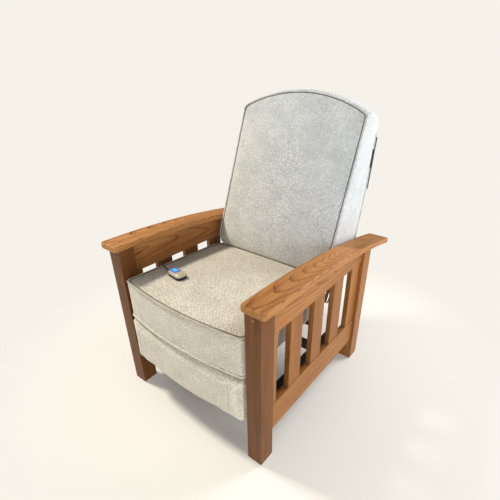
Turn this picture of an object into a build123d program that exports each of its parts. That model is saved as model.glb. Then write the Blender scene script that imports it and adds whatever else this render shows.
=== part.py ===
from build123d import *
from math import acos, cos, degrees, radians, sin, sqrt, tan
import os

os.makedirs("parts", exist_ok=True)

# A mission reclining armchair. Millimetres, +Z up, the chair faces -Y.
# The origin is on the floor, under the middle of the whole chair.
# Right and left are the sitter's, so right is -X.

# Wooden side frames
chair_width = 684.0
chair_depth = 726.0
post_width = 58.0
post_depth = 60.0
foot_chamfer = 2.5
arm_width = 88.0
arm_thickness = 22.2
arm_crest_height = 634.2
arm_crest_depth = 53.0
arm_bow_radius = 3880.0
arm_outer_overhang = 24.3
arm_front_overhang = 17.0
arm_rear_overhang = 121.0
arm_front_corner = 15.0
arm_rear_corner = 9.0
arm_edge_round = 6.0
rail_thickness = 25.0
rail_inset = 11.0
rail_edge_round = 3.0
lower_rail_bottom = 103.5
lower_rail_height = 110.0
upper_rail_bottom = 500.0
slat_count = 3
slat_width = 70.0
slat_thickness = 19.0
slat_inset = 15.0
front_stile_width = 36.5
rear_stile_width = 68.5
plug_radius = 4.5
plug_pocket = 5.0
plug_proud = 0.4
plug_gap = 0.05
post_plug_drop = 48.0

# Steel base that ties the two side frames together
base_leg_bottom = 142.0
base_leg_width = 65.0
base_wall_height = 53.0
base_steel = 3.0
base_end_gap = 2.0
cross_rail_side = 30.0
cross_rail_wall = 2.0
cross_rail_length = 604.0
front_cross_rail_depth = 165.0
rear_cross_rail_depth = 495.0
bolt_radius = 3.0
bolt_gap = 0.1
bolt_head_radius = 6.5
bolt_head_height = 4.0
bolt_grip = 18.0
bolt_rise = 28.0
base_bolt_shares = (0.06, 0.5, 0.94)

# Uprights that carry the seat, the link pivots and the back pivots
plate_thickness = 3.0
front_upright_start = 62.0
front_upright_end = 200.0
rear_upright_gap = 6.0
rear_upright_width = 73.0
upright_top = 380.0
upright_foot = 24.0
seat_rail_height = 30.0
back_pivot_run = 59.0
back_pivot_drop = 60.0
back_pivot_radius = 6.0
back_pivot_boss = 21.0
running_gap = 0.3
bore_gap = 0.05

# Upholstered seat
seat_half_width = 276.0
seat_cushion_height = 95.0
seat_base_height = 405.0
seat_overhang = 38.0
seat_bow = 26.0
seat_draw_in = 3.0
seat_corner_round = 18.0
seat_fall = 18.0
seat_crown = 20.0
seat_crown_front_share = 0.12
seat_crown_rear_share = 0.4
welt_radius = 4.0
seat_board_thickness = 18.7
seat_board_height = 60.0
seat_end_board_drop = 11.0
seat_front_board_depth = 14.0
seat_rear_board_depth = 446.0
border_thickness = 14.0
side_border_bottom = 340.0
front_border_drop = 53.0
border_step_depth = 34.0
spring_count = 5
spring_wire = 3.5
spring_pitch = 16.0
spring_half_width = 20.0
spring_bend = 7.0
clip_width = 16.0
clip_depth = 12.0
clip_height = 6.0
deck_thickness = 4.8

# Reclining back, drawn square to its front face
back_tilt = 20.66
back_face_run = 16.0
back_face_rise = 45.0
back_half_width = 272.0
back_bottom = 48.0
back_shoulder = 627.0
back_crown_rise = 68.0
back_shoulder_round = 14.0
back_foot_round = 52.0
back_foam_depth = 42.7
back_bulge = 30.0
back_bulge_foot_share = 0.9
back_bulge_top_share = 0.45
back_foot_thickness = 200.0
back_foot_rise = 99.0
back_middle_thickness = 168.0
back_middle_rise = 343.0
back_top_thickness = 121.0
back_top_rise = 549.0
back_top_round = 30.0
back_flap_thickness = 16.0
back_border_thickness = 10.0
back_top_lift = 18.0
stile_width = 22.0
stile_depth = 50.0
stile_foot = 12.0
stile_top = 610.0
back_rail_thickness = 22.0
back_rail_height = 70.0
strap_count = 4
strap_width = 50.0
strap_thickness = 2.0
strap_lap = 15.0
back_panel_thickness = 6.0
closing_strip_thickness = 1.6
closing_strip_foot = 366.0
closing_strip_top = 556.0
bracket_reach = 150.0
bracket_lobe_run = 87.0
bracket_lobe_drop = 58.0
bracket_lobe_radius = 26.0
bracket_slot_width = 18.0
bracket_slot_length = 46.0
bracket_slot_turn = 62.0
bracket_slot_shares = (0.58, 1.02)
bracket_end_radius = 20.0

# Footrest and its folding links
footrest_half_width = 276.0
footrest_bottom = 158.0
footrest_top = 344.0
footrest_bow = 16.0
footrest_front = 24.0
footrest_crown_share = 0.55
footrest_back_depth = 22.0
footrest_corner_round = 12.0
footrest_board_thickness = 16.0
footrest_board_margin = 8.0
link_length = 180.0
link_boss_radius = 17.0
link_width = 22.0
link_thickness = 4.0
link_gap = 1.0
link_stowed_angle = 80.0
link_open_angle = 15.0
footrest_pivot_depth = 50.0
footrest_pivot_height = 335.0
rivet_radius = 5.0
rivet_head_radius = 8.0
rivet_head_height = 2.0
ear_foot_drop = 60.0
ear_foot_width = 26.0

# Torque tube and the linear actuator that turns it
torque_tube_radius = 11.0
journal_radius = 8.0
bush_radius = 11.0
bush_flange_radius = 14.0
bush_flange_thickness = 1.5
crank_thickness = 8.0
crank_throw = 70.0
crank_rim = 8.0
slot_play = 0.3
rod_radius = 10.0
clevis_pin_radius = 5.0
fork_gap = 0.4
fork_wall = 6.0
fork_open_length = 30.0
fork_block_length = 12.0
fork_height = 26.0
rod_end_gap = 5.0
actuator_tube_radius = 17.0
actuator_tube_start = 206.0
gearbox_length = 38.0
gearbox_side = 48.0
gearbox_eye_gap = 17.0
rear_eye_run = 30.0
rear_eye_radius = 12.0
rear_eye_thickness = 13.4
stabiliser_inset = 18.0
stabiliser_radius = 11.0
motor_radius = 25.0
motor_length = 112.0
motor_neck = 8.0
motor_neck_radius = 15.0

# Control box under the seat
box_width = 44.0
box_length = 110.0
box_bottom = 312.0
box_top = 372.0
box_run = 146.0
box_edge_round = 4.0
inlet_radius = 7.0
inlet_bore = 2.8
inlet_length = 12.0

# Handset on the seat, with its cord
handset_x = -138.0
handset_depth = 124.5
handset_turn = -10.6
handset_lean = -4.05
handset_pitch = 0.11
handset_length = 80.0
handset_width = 43.0
handset_base_height = 9.0
handset_shell_height = 11.0
handset_shell_inset = 1.5
handset_end_round = 16.0
handset_foot_round = 1.5
handset_shell_round = 5.0
handset_seat_rise = 15.65
keypad_length = 40.0
keypad_width = 27.0
keypad_thickness = 1.4
keypad_offset = 13.0
keypad_round = 6.0
keypad_rim = 0.8
button_length = 10.0
button_width = 15.0
button_height = 4.0
button_spacing = 13.0
button_proud = 1.3
button_travel = 1.0
button_gap = 0.15
relief_length = 14.0
relief_radius = 3.6
relief_tip_radius = 2.8
cord_lead = 22.0
cord_radius = 2.25
cord_bend_share = 0.45
cord_inset = 18.0

# Places worked out from the driving dimensions
right_and_left = ((-1, "right"), (1, "left"))
front_reach = seat_bow + welt_radius
whole_depth = front_reach + chair_depth + arm_rear_overhang
front_face = front_reach - whole_depth / 2
half_width = chair_width / 2
post_x = half_width - post_width / 2
rail_outer_x = half_width - rail_inset
rail_inner_x = rail_outer_x - rail_thickness
rail_start = post_depth
rail_end = chair_depth - post_depth
lower_rail_top = lower_rail_bottom + lower_rail_height
base_leg_top = base_leg_bottom + base_steel
base_wall_x = rail_inner_x - base_steel
base_inner_x = rail_inner_x - base_leg_width - base_steel
plate_outer_x = seat_half_width - border_thickness - seat_board_thickness
plate_inner_x = plate_outer_x - plate_thickness
bracket_outer_x = plate_inner_x - running_gap
bracket_inner_x = bracket_outer_x - plate_thickness
seat_side_height = seat_base_height + seat_cushion_height
front_border_bottom = seat_base_height - front_border_drop
back_face_height = seat_base_height + back_face_rise
seat_rear_depth = seat_rear_board_depth + seat_overhang
back_face_depth = seat_rear_board_depth + back_face_run
back_pivot_depth = seat_rear_board_depth + back_pivot_run
back_pivot_height = back_face_height - back_pivot_drop
bracket_lobe_depth = back_pivot_depth + bracket_lobe_run
bracket_lobe_height = back_pivot_height - bracket_lobe_drop
rear_upright_start = seat_rear_board_depth + rear_upright_gap
rear_upright_end = rear_upright_start + rear_upright_width
stabiliser_depth = rear_upright_start + stabiliser_inset
rear_eye_depth = stabiliser_depth - rear_eye_run
gearbox_start = rear_eye_depth - gearbox_eye_gap - gearbox_length
box_start = seat_rear_board_depth - box_run
cut_margin = chair_depth
stand_align = (Align.CENTER, Align.CENTER, Align.MIN)
corner_align = (Align.CENTER, Align.MIN, Align.MIN)


def at(depth):
    """The Y of a point, from its depth behind the front of the front posts."""
    return front_face + depth


def arm_line(depth, drop):
    """The height of the bowed arm at a depth, a drop below its top."""
    radius = arm_bow_radius - drop
    centre = arm_crest_height - arm_bow_radius
    return centre + sqrt(radius**2 - (depth - arm_crest_depth) ** 2)


def arm_arc(start, end, drop):
    """An arc that follows the arm from one depth to another."""
    middle = (start + end) / 2
    ends = [(at(d), arm_line(d, drop)) for d in (start, middle, end)]
    return ThreePointArc(*ends)


def write(piece, name):
    """Label a finished piece and write it."""
    piece.part.label = name
    export_step(piece.part, f"parts/{name}.step")


# Wooden side frames
for side, hand in right_and_left:
    for place, post_middle in (("front", post_depth / 2), ("rear", chair_depth - post_depth / 2)):
        with BuildPart() as post:
            with BuildSketch():
                with Locations((side * post_x, at(post_middle))):
                    Rectangle(post_width, post_depth)
            extrude(amount=arm_crest_height)
            chamfer(post.edges().group_by(Axis.Z)[0], foot_chamfer)
            with BuildSketch(Plane.YZ.offset(-cut_margin)):
                with BuildLine():
                    start = post_middle - post_depth
                    end = post_middle + post_depth
                    arc = arm_arc(start, end, arm_thickness)
                    roof = arm_crest_height + arm_thickness
                    Polyline(arc @ 1, (at(end), roof), (at(start), roof), arc @ 0)
                make_face()
            extrude(amount=2 * cut_margin, mode=Mode.SUBTRACT)
            if place == "front":
                with Locations((side * post_x, at(0), arm_crest_height - post_plug_drop)):
                    pocket_radius = plug_radius + plug_gap
                    Cylinder(pocket_radius, 2 * plug_pocket, rotation=(90, 0, 0), mode=Mode.SUBTRACT)
        write(post, f"post_{place}_{hand}")

    arm_x = side * (half_width + arm_outer_overhang - arm_width / 2)
    with BuildPart() as arm:
        with BuildSketch(Plane.YZ.offset(arm_x - arm_width / 2)):
            with BuildLine():
                arm_end = chair_depth + arm_rear_overhang
                top_arc = arm_arc(-arm_front_overhang, arm_end, 0)
                under_arc = arm_arc(-arm_front_overhang, arm_end, arm_thickness)
                Line(top_arc @ 0, under_arc @ 0)
                Line(top_arc @ 1, under_arc @ 1)
            make_face()
        extrude(amount=arm_width)
        corners = arm.edges().filter_by(Axis.Z).group_by(Axis.Y)
        fillet(corners[-1], arm_rear_corner)
        corners = arm.edges().filter_by(Axis.Z).group_by(Axis.Y)
        fillet(corners[0], arm_front_corner)
        broad_faces = arm.faces().sort_by(SortBy.AREA)[-2:]
        fillet(broad_faces[0].edges() + broad_faces[1].edges(), arm_edge_round)
        for plug_depth in (post_depth / 2, chair_depth - post_depth / 2):
            with Locations((side * post_x, at(plug_depth), arm_line(plug_depth, 0))):
                Cylinder(plug_radius + plug_gap, 2 * plug_pocket, mode=Mode.SUBTRACT)
    write(arm, f"arm_{hand}")

    rail_x = side * (rail_outer_x - rail_thickness / 2)
    with BuildPart() as upper_rail:
        with BuildSketch(Plane.YZ.offset(rail_x - rail_thickness / 2)):
            with BuildLine():
                rail_arc = arm_arc(rail_start, rail_end, arm_thickness)
                low_rear = (at(rail_end), upper_rail_bottom)
                low_front = (at(rail_start), upper_rail_bottom)
                Polyline(rail_arc @ 1, low_rear, low_front, rail_arc @ 0)
            make_face()
        extrude(amount=rail_thickness)
    write(upper_rail, f"upper_rail_{hand}")

    with BuildPart() as lower_rail:
        with Locations((rail_x, at((rail_start + rail_end) / 2), lower_rail_bottom)):
            rail_size = (rail_thickness, rail_end - rail_start, lower_rail_height)
            Box(*rail_size, align=stand_align)
        top_edges = lower_rail.edges().filter_by(Axis.Y).group_by(Axis.Z)[-1]
        fillet(top_edges.sort_by(Axis.X)[-1 if side > 0 else 0], rail_edge_round)
        for share in base_bolt_shares:
            bolt_y = at(rail_start + share * (rail_end - rail_start))
            with Locations((side * rail_inner_x, bolt_y, base_leg_bottom + bolt_rise)):
                Cylinder(bolt_radius + bolt_gap, 2 * bolt_grip, rotation=(0, 90, 0), mode=Mode.SUBTRACT)
        plug_height = lower_rail_bottom + lower_rail_height * 3 / 4
        with Locations((side * rail_outer_x, at(chair_depth / 2), plug_height)):
            Cylinder(plug_radius + plug_gap, 2 * plug_pocket, rotation=(0, 90, 0), mode=Mode.SUBTRACT)
    write(lower_rail, f"lower_rail_{hand}")

    slat_x = side * (half_width - slat_inset - slat_thickness / 2)
    slat_length = upper_rail_bottom - lower_rail_top
    panel_start = rail_start + front_stile_width
    panel_end = rail_end - rear_stile_width
    slat_gap = (panel_end - panel_start - slat_count * slat_width) / (slat_count + 1)
    with BuildPart() as slats:
        for i in range(slat_count):
            slat_start = panel_start + slat_gap + i * (slat_width + slat_gap)
            with Locations((slat_x, at(slat_start), lower_rail_top)):
                Box(slat_thickness, slat_width, slat_length, align=corner_align)
    write(slats, f"slats_{hand}")

with BuildPart() as end_stiles:
    for side, hand in right_and_left:
        for stile_start, width in ((rail_start, front_stile_width), (panel_end, rear_stile_width)):
            with Locations((side * abs(slat_x), at(stile_start), lower_rail_top)):
                Box(slat_thickness, width, slat_length, align=corner_align)
write(end_stiles, "end_stiles")

with BuildPart() as wood_plugs:
    plug_length = plug_pocket + plug_proud
    for side, hand in right_and_left:
        with Locations((side * post_x, at(-plug_proud), arm_crest_height - post_plug_drop)):
            Cylinder(plug_radius, plug_length, rotation=(-90, 0, 0), align=stand_align)
        for plug_depth in (post_depth / 2, chair_depth - post_depth / 2):
            with Locations((side * post_x, at(plug_depth), arm_line(plug_depth, 0) - plug_pocket)):
                Cylinder(plug_radius, plug_length, align=stand_align)
        with Locations((side * (rail_outer_x - plug_pocket), at(chair_depth / 2), plug_height)):
            Cylinder(plug_radius, plug_length, rotation=(0, side * 90, 0), align=stand_align)
write(wood_plugs, "wood_plugs")

# Steel base
base_start = rail_start + base_end_gap
base_length = rail_end - rail_start - 2 * base_end_gap
cross_rail_depths = (front_cross_rail_depth, rear_cross_rail_depth)
upright_middles = (
    (front_upright_start + front_upright_end) / 2,
    (rear_upright_start + rear_upright_end) / 2,
)
foot_bolt_x = plate_outer_x + upright_foot / 2 + plate_thickness
with BuildPart() as base_rails:
    for side, hand in right_and_left:
        with BuildSketch(Plane.XZ.offset(-at(base_start))):
            with BuildLine():
                Polyline(
                    (side * base_inner_x, base_leg_bottom),
                    (side * rail_inner_x, base_leg_bottom),
                    (side * rail_inner_x, base_leg_bottom + base_wall_height),
                    (side * base_wall_x, base_leg_bottom + base_wall_height),
                    (side * base_wall_x, base_leg_top),
                    (side * base_inner_x, base_leg_top),
                    close=True,
                )
            make_face()
        extrude(amount=-base_length)
        for share in base_bolt_shares:
            bolt_y = at(rail_start + share * (rail_end - rail_start))
            with Locations((side * base_wall_x, bolt_y, base_leg_bottom + bolt_rise)):
                Cylinder(bolt_radius + bolt_gap, 4 * base_steel, rotation=(0, 90, 0), mode=Mode.SUBTRACT)
        for middle in upright_middles:
            with Locations((side * foot_bolt_x, at(middle), base_leg_top)):
                Cylinder(bolt_radius + bolt_gap, 4 * base_steel, mode=Mode.SUBTRACT)
write(base_rails, "base_rails")

with BuildPart() as base_cross_rails:
    for depth in cross_rail_depths:
        with Locations((0, at(depth), base_leg_bottom - cross_rail_side / 2)):
            Box(cross_rail_length, cross_rail_side, cross_rail_side)
            bore = cross_rail_side - 2 * cross_rail_wall
            Box(cross_rail_length, bore, bore, mode=Mode.SUBTRACT)
write(base_cross_rails, "base_cross_rails")


def hex_bolt(grip):
    """A hexagon bolt along +Z, its head below the XY plane of its place."""
    with BuildPart(mode=Mode.PRIVATE) as bolt:
        with BuildSketch(Plane.XY.offset(-bolt_head_height)):
            RegularPolygon(bolt_head_radius, 6)
        extrude(amount=bolt_head_height)
        with BuildSketch():
            Circle(bolt_radius)
        extrude(amount=grip)
    return bolt.part


with BuildPart() as base_bolts:
    for side, hand in right_and_left:
        for share in base_bolt_shares:
            bolt_y = at(rail_start + share * (rail_end - rail_start))
            bolt_place = (side * base_wall_x, bolt_y, base_leg_bottom + bolt_rise)
            with Locations(Location(bolt_place, (0, side * 90, 0))):
                add(hex_bolt(bolt_grip))
        for middle in upright_middles:
            foot_bolt_place = (side * foot_bolt_x, at(middle), base_leg_top + base_steel)
            with Locations(Location(foot_bolt_place, (180, 0, 0))):
                add(hex_bolt(2 * base_steel))
write(base_bolts, "base_bolts")

# Uprights. Depth runs along the local X of their side view.
link_pivot_run = 2 * link_length * cos(radians(link_stowed_angle))
torque_depth = footrest_pivot_depth + link_pivot_run
torque_height = footrest_pivot_height
side_view = Plane(origin=(0, at(0), 0), x_dir=(0, 1, 0), z_dir=(1, 0, 0))

with BuildPart() as uprights:
    for side, hand in right_and_left:
        with BuildSketch(side_view.offset(side * plate_outer_x)):
            with Locations((front_upright_start, base_leg_top)):
                web_size = (front_upright_end - front_upright_start, upright_top - base_leg_top)
                Rectangle(*web_size, align=Align.MIN)
            with Locations((torque_depth, torque_height)):
                Circle(bush_radius + bore_gap, mode=Mode.SUBTRACT)
        extrude(amount=-side * plate_thickness)
        foot_x = side * (plate_outer_x + upright_foot / 2)
        with Locations((foot_x, at(upright_middles[0]), base_leg_top + plate_thickness / 2)):
            Box(upright_foot, front_upright_end - front_upright_start, plate_thickness)
        with Locations((side * foot_bolt_x, at(upright_middles[0]), base_leg_top)):
            Cylinder(bolt_radius + bolt_gap, 4 * plate_thickness, mode=Mode.SUBTRACT)
    for side, hand in right_and_left:
        with BuildSketch(side_view.offset(side * plate_outer_x)):
            with Locations((rear_upright_start, base_leg_top)):
                web_size = (rear_upright_end - rear_upright_start, upright_top - base_leg_top)
                Rectangle(*web_size, align=Align.MIN)
            with Locations((back_pivot_depth, base_leg_top)):
                neck_size = (2 * back_pivot_boss, back_pivot_height - base_leg_top)
                Rectangle(*neck_size, align=(Align.CENTER, Align.MIN))
            with Locations((back_pivot_depth, back_pivot_height)):
                Circle(back_pivot_boss)
                Circle(back_pivot_radius, mode=Mode.SUBTRACT)
        extrude(amount=-side * plate_thickness)
        foot_x = side * (plate_outer_x + upright_foot / 2)
        with Locations((foot_x, at(upright_middles[1]), base_leg_top + plate_thickness / 2)):
            Box(upright_foot, rear_upright_end - rear_upright_start, plate_thickness)
        with Locations((side * foot_bolt_x, at(upright_middles[1]), base_leg_top)):
            Cylinder(bolt_radius + bolt_gap, 4 * plate_thickness, mode=Mode.SUBTRACT)
write(uprights, "uprights")

with BuildPart() as seat_rails:
    for side, hand in right_and_left:
        with BuildSketch(side_view.offset(side * plate_outer_x)):
            with Locations((front_upright_end, upright_top)):
                span = rear_upright_start - front_upright_end
                Rectangle(span, seat_rail_height, align=(Align.MIN, Align.MAX))
        extrude(amount=-side * plate_thickness)
write(seat_rails, "seat_rails")

with BuildPart() as tube_bushes:
    for side, hand in right_and_left:
        bush_place = side_view.offset(side * plate_outer_x)
        with BuildSketch(bush_place):
            with Locations((torque_depth, torque_height)):
                Circle(bush_radius)
        extrude(amount=-side * plate_thickness)
        with BuildSketch(side_view.offset(side * plate_inner_x)):
            with Locations((torque_depth, torque_height)):
                Circle(bush_flange_radius)
        extrude(amount=-side * bush_flange_thickness)
        with BuildSketch(bush_place):
            with Locations((torque_depth, torque_height)):
                Circle(journal_radius + bore_gap)
        extrude(amount=-side * 2 * plate_thickness, mode=Mode.SUBTRACT)
write(tube_bushes, "tube_bushes")

with BuildPart() as stabiliser_tube:
    with BuildSketch(side_view.offset(-plate_inner_x)):
        with Locations((stabiliser_depth, torque_height - crank_throw)):
            Circle(stabiliser_radius)
    extrude(amount=2 * plate_inner_x)
    for side, hand in right_and_left:
        ear_inner = rear_eye_thickness / 2 + running_gap
        with BuildSketch(side_view.offset(side * ear_inner)):
            with Locations((rear_eye_depth, torque_height - crank_throw)):
                Circle(rear_eye_radius)
            with Locations(((rear_eye_depth + stabiliser_depth) / 2, torque_height - crank_throw)):
                Rectangle(stabiliser_depth - rear_eye_depth, 2 * rear_eye_radius)
            with Locations((rear_eye_depth, torque_height - crank_throw)):
                Circle(clevis_pin_radius + bore_gap, mode=Mode.SUBTRACT)
        extrude(amount=side * fork_wall)
write(stabiliser_tube, "stabiliser_tube")

with BuildPart() as pivot_pins:
    for side, hand in right_and_left:
        pin_sizes = (
            (back_pivot_radius, plate_outer_x, bracket_inner_x - running_gap),
            (back_pivot_radius * 3 / 2, plate_outer_x + plate_thickness * 2, plate_outer_x),
            (back_pivot_radius * 5 / 3, bracket_inner_x - running_gap, bracket_inner_x - plate_thickness),
        )
        for radius, outer, inner in pin_sizes:
            with BuildSketch(side_view.offset(side * inner)):
                with Locations((back_pivot_depth, back_pivot_height)):
                    Circle(radius)
            extrude(amount=side * (outer - inner))
    pin_half = ear_inner + fork_wall + running_gap
    with BuildSketch(side_view.offset(-pin_half)):
        with Locations((rear_eye_depth, torque_height - crank_throw)):
            Circle(clevis_pin_radius)
    extrude(amount=2 * pin_half)
write(pivot_pins, "pivot_pins")

# Seat box, springs and upholstery
seat_board_x = plate_outer_x + seat_board_thickness / 2
board_span = seat_rear_board_depth - seat_front_board_depth
end_board_top = seat_base_height - seat_end_board_drop
end_board_height = end_board_top - front_border_bottom
end_board_depths = (
    seat_front_board_depth + seat_board_thickness / 2,
    seat_rear_board_depth - seat_board_thickness / 2,
)
end_board_reaches = (plate_outer_x, plate_inner_x)
with BuildPart() as seat_boards:
    for side, hand in right_and_left:
        board_foot = seat_base_height - seat_board_height
        with Locations((side * seat_board_x, at(seat_front_board_depth), board_foot)):
            Box(seat_board_thickness, board_span, seat_board_height, align=corner_align)
    for depth, reach in zip(end_board_depths, end_board_reaches):
        with Locations((0, at(depth), end_board_top - end_board_height / 2)):
            Box(2 * reach, seat_board_thickness, end_board_height)
write(seat_boards, "seat_boards")

spring_height = end_board_top + clip_height / 2
spring_reach = end_board_depths[1] - end_board_depths[0]
spring_turns = round(spring_reach / spring_pitch)
spring_step = spring_reach / spring_turns
spring_spacing = 2 * plate_outer_x / (spring_count + 1)
spring_places = [(i - (spring_count - 1) / 2) * spring_spacing for i in range(spring_count)]

with BuildPart() as one_spring:
    with BuildLine() as spring_path:
        points = []
        for i in range(spring_turns + 1):
            turn = 1 if i % 2 == 0 else -1
            spring_y = at(end_board_depths[0] + i * spring_step)
            points.append((-turn * spring_half_width, spring_y, spring_height))
            points.append((turn * spring_half_width, spring_y, spring_height))
        FilletPolyline(*points, radius=spring_bend)
    with BuildSketch(Plane(spring_path.line @ 0, z_dir=spring_path.line % 0)):
        Circle(spring_wire / 2)
    sweep()
with BuildPart() as seat_springs:
    with Locations(*[(x, 0, 0) for x in spring_places]):
        add(one_spring.part)
write(seat_springs, "seat_springs")

with BuildPart() as spring_clips:
    for x in spring_places:
        for depth in end_board_depths:
            with Locations((x, at(depth), end_board_top)):
                Box(clip_width, clip_depth, clip_height, align=(Align.CENTER, Align.CENTER, Align.MIN))
            with Locations((x, at(depth), spring_height)):
                clip_bore = spring_wire / 2 + bore_gap
                Cylinder(clip_bore, 2 * clip_width, rotation=(0, 90, 0), mode=Mode.SUBTRACT)
write(spring_clips, "spring_clips")

with BuildPart() as deck_pad:
    with Locations((0, at(seat_front_board_depth + board_span / 2), seat_base_height)):
        deck_align = (Align.CENTER, Align.CENTER, Align.MAX)
        Box(2 * plate_outer_x - 2 * running_gap, board_span, deck_thickness, align=deck_align)
write(deck_pad, "deck_pad")

near_corner = (seat_half_width, at(0))
far_corner = (seat_half_width, at(seat_rear_depth))
bow_middle = (0, at(-seat_bow))


def seat_side(depth):
    """The height of the seat's side edge at a depth. It falls toward the rear."""
    return seat_side_height - seat_fall * depth / seat_rear_depth


seat_edge_middle = (0, at(0), seat_side_height)
seat_edge_plane = Plane(seat_edge_middle, x_dir=(1, 0, 0), z_dir=(0, seat_fall, seat_rear_depth))
with BuildPart() as seat_welt:
    with BuildLine(seat_edge_plane) as seat_welt_path:
        welt_run = sqrt(seat_rear_depth**2 + seat_fall**2)
        Line((-seat_half_width, welt_run), (-seat_half_width, 0))
        ThreePointArc((-seat_half_width, 0), (0, -seat_bow), (seat_half_width, 0))
        Line((seat_half_width, 0), (seat_half_width, welt_run))
        fillet(seat_welt_path.vertices().group_by(Axis.Y)[0], seat_corner_round)
    welt_end = (*far_corner, seat_side(seat_rear_depth))
    with BuildSketch(Plane(welt_end, z_dir=(0, -seat_rear_depth, seat_fall))):
        Circle(welt_radius)
    sweep(path=seat_welt_path.wire())
write(seat_welt, "seat_welt")

seat_stations = (
    (-seat_bow, seat_crown_front_share),
    (seat_rear_depth / 4, 1),
    (seat_rear_depth * 3 / 5, 1),
    (seat_rear_depth, seat_crown_rear_share),
)
with BuildPart() as seat_cushion:
    for depth, crown_share in seat_stations:
        with BuildSketch(Plane(origin=(0, at(depth), 0), x_dir=(1, 0, 0), z_dir=(0, -1, 0))):
            with BuildLine():
                edge = seat_side(depth)
                rise = edge + crown_share * seat_crown
                wide = seat_half_width + welt_radius
                ThreePointArc((-wide, edge), (0, rise), (wide, edge))
                Polyline(
                    (-wide, edge),
                    (-wide, seat_base_height),
                    (wide, seat_base_height),
                    (wide, edge),
                )
            make_face()
    loft()
    with BuildSketch(Plane.XY.offset(seat_base_height)) as seat_plan:
        with BuildLine():
            waist = (seat_half_width - seat_draw_in, at(seat_rear_depth / 2))
            ThreePointArc((-near_corner[0], near_corner[1]), bow_middle, near_corner)
            ThreePointArc(near_corner, waist, far_corner)
            Line(far_corner, (-far_corner[0], far_corner[1]))
            left_ends = [(-x, y) for x, y in (far_corner, waist, near_corner)]
            ThreePointArc(*left_ends)
        make_face()
        fillet(seat_plan.vertices().group_by(Axis.Y)[0], seat_corner_round)
    extrude(amount=2 * (seat_side_height - seat_base_height), mode=Mode.INTERSECT)
    add(seat_welt.part, mode=Mode.SUBTRACT)
write(seat_cushion, "seat_cushion")

with BuildPart() as seat_borders:
    with BuildSketch(Plane.XY.offset(front_border_bottom)) as front_plan:
        with BuildLine():
            ThreePointArc((-near_corner[0], near_corner[1]), bow_middle, near_corner)
            Polyline(
                near_corner,
                (seat_half_width, at(seat_front_board_depth)),
                (-seat_half_width, at(seat_front_board_depth)),
                (-near_corner[0], near_corner[1]),
            )
        make_face()
        fillet(front_plan.vertices().group_by(Axis.Y)[0], seat_corner_round / 2)
    extrude(amount=seat_base_height - front_border_bottom)
    for side, hand in right_and_left:
        with BuildSketch(side_view.offset(side * seat_half_width)):
            with BuildLine():
                Polyline(
                    (seat_front_board_depth, seat_base_height),
                    (seat_front_board_depth, front_border_bottom),
                    (border_step_depth, front_border_bottom),
                    (border_step_depth, side_border_bottom),
                    (seat_rear_board_depth, side_border_bottom),
                    (seat_rear_board_depth, seat_base_height),
                    close=True,
                )
            make_face()
        extrude(amount=-side * border_thickness)
write(seat_borders, "seat_borders")

# Back, drawn from its front face: X across, then up the face, then to the rear
tilt = radians(back_tilt)
back_place = (0, at(back_face_depth), back_face_height)
back_face = Plane(origin=back_place, x_dir=(1, 0, 0), z_dir=(0, -cos(tilt), sin(tilt)))
back_side = Plane(origin=back_place, x_dir=(0, cos(tilt), -sin(tilt)), z_dir=(1, 0, 0))
arch_radius = (back_half_width**2 + back_crown_rise**2) / (2 * back_crown_rise)
arch_centre = back_shoulder + back_crown_rise - arch_radius
back_crown = back_shoulder + back_crown_rise


def across(rise):
    """A plane square to the back at a height up its face, with Y to the rear."""
    origin = back_face.from_local_coords((0, rise, 0))
    return Plane(origin=origin, x_dir=(1, 0, 0), z_dir=(0, sin(tilt), cos(tilt)))


with BuildPart() as back_welt:
    with BuildLine(back_face) as back_welt_path:
        tail = back_half_width - 5 / 4 * back_foot_round
        right_shoulder = (-back_half_width, back_shoulder)
        left_shoulder = (back_half_width, back_shoulder)
        Polyline((-tail, back_bottom), (-back_half_width, back_bottom), right_shoulder)
        ThreePointArc(right_shoulder, (0, back_crown), left_shoulder)
        Polyline(left_shoulder, (back_half_width, back_bottom), (tail, back_bottom))
        heights = back_welt_path.vertices().group_by(Axis.Z)
        fillet(heights[-1], back_shoulder_round)
        low = back_welt_path.vertices().group_by(Axis.Z)[0]
        fillet([low.sort_by(Axis.X)[0], low.sort_by(Axis.X)[-1]], back_foot_round)
    with BuildSketch(Plane(back_welt_path.wire() @ 0, z_dir=back_welt_path.wire() % 0)):
        Circle(welt_radius)
    sweep(path=back_welt_path.wire())
write(back_welt, "back_welt")

back_stations = (
    (back_bottom - back_foot_round, back_bulge_foot_share),
    (back_shoulder / 3, 1),
    (back_shoulder * 2 / 3, 1),
    (back_crown + back_foot_round, back_bulge_top_share),
)
with BuildPart() as back_cushion:
    for rise, bulge_share in back_stations:
        with BuildSketch(across(rise)):
            with BuildLine():
                wide = back_half_width + welt_radius
                ThreePointArc((-wide, 0), (0, -bulge_share * back_bulge), (wide, 0))
                Polyline((-wide, 0), (-wide, back_foam_depth), (wide, back_foam_depth), (wide, 0))
            make_face()
    loft()
    with BuildSketch(back_face.offset(2 * back_bulge)) as back_outline:
        with BuildLine():
            ThreePointArc(right_shoulder, (0, back_crown), left_shoulder)
            Polyline(
                left_shoulder,
                (back_half_width, back_bottom),
                (-back_half_width, back_bottom),
                right_shoulder,
            )
        make_face()
        fillet(back_outline.vertices().group_by(Axis.Y)[-1], back_shoulder_round)
        fillet(back_outline.vertices().group_by(Axis.Y)[0], back_foot_round)
    extrude(amount=-2 * back_bulge - 2 * back_foam_depth, mode=Mode.INTERSECT)
    add(back_welt.part, mode=Mode.SUBTRACT)
write(back_cushion, "back_cushion")

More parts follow.
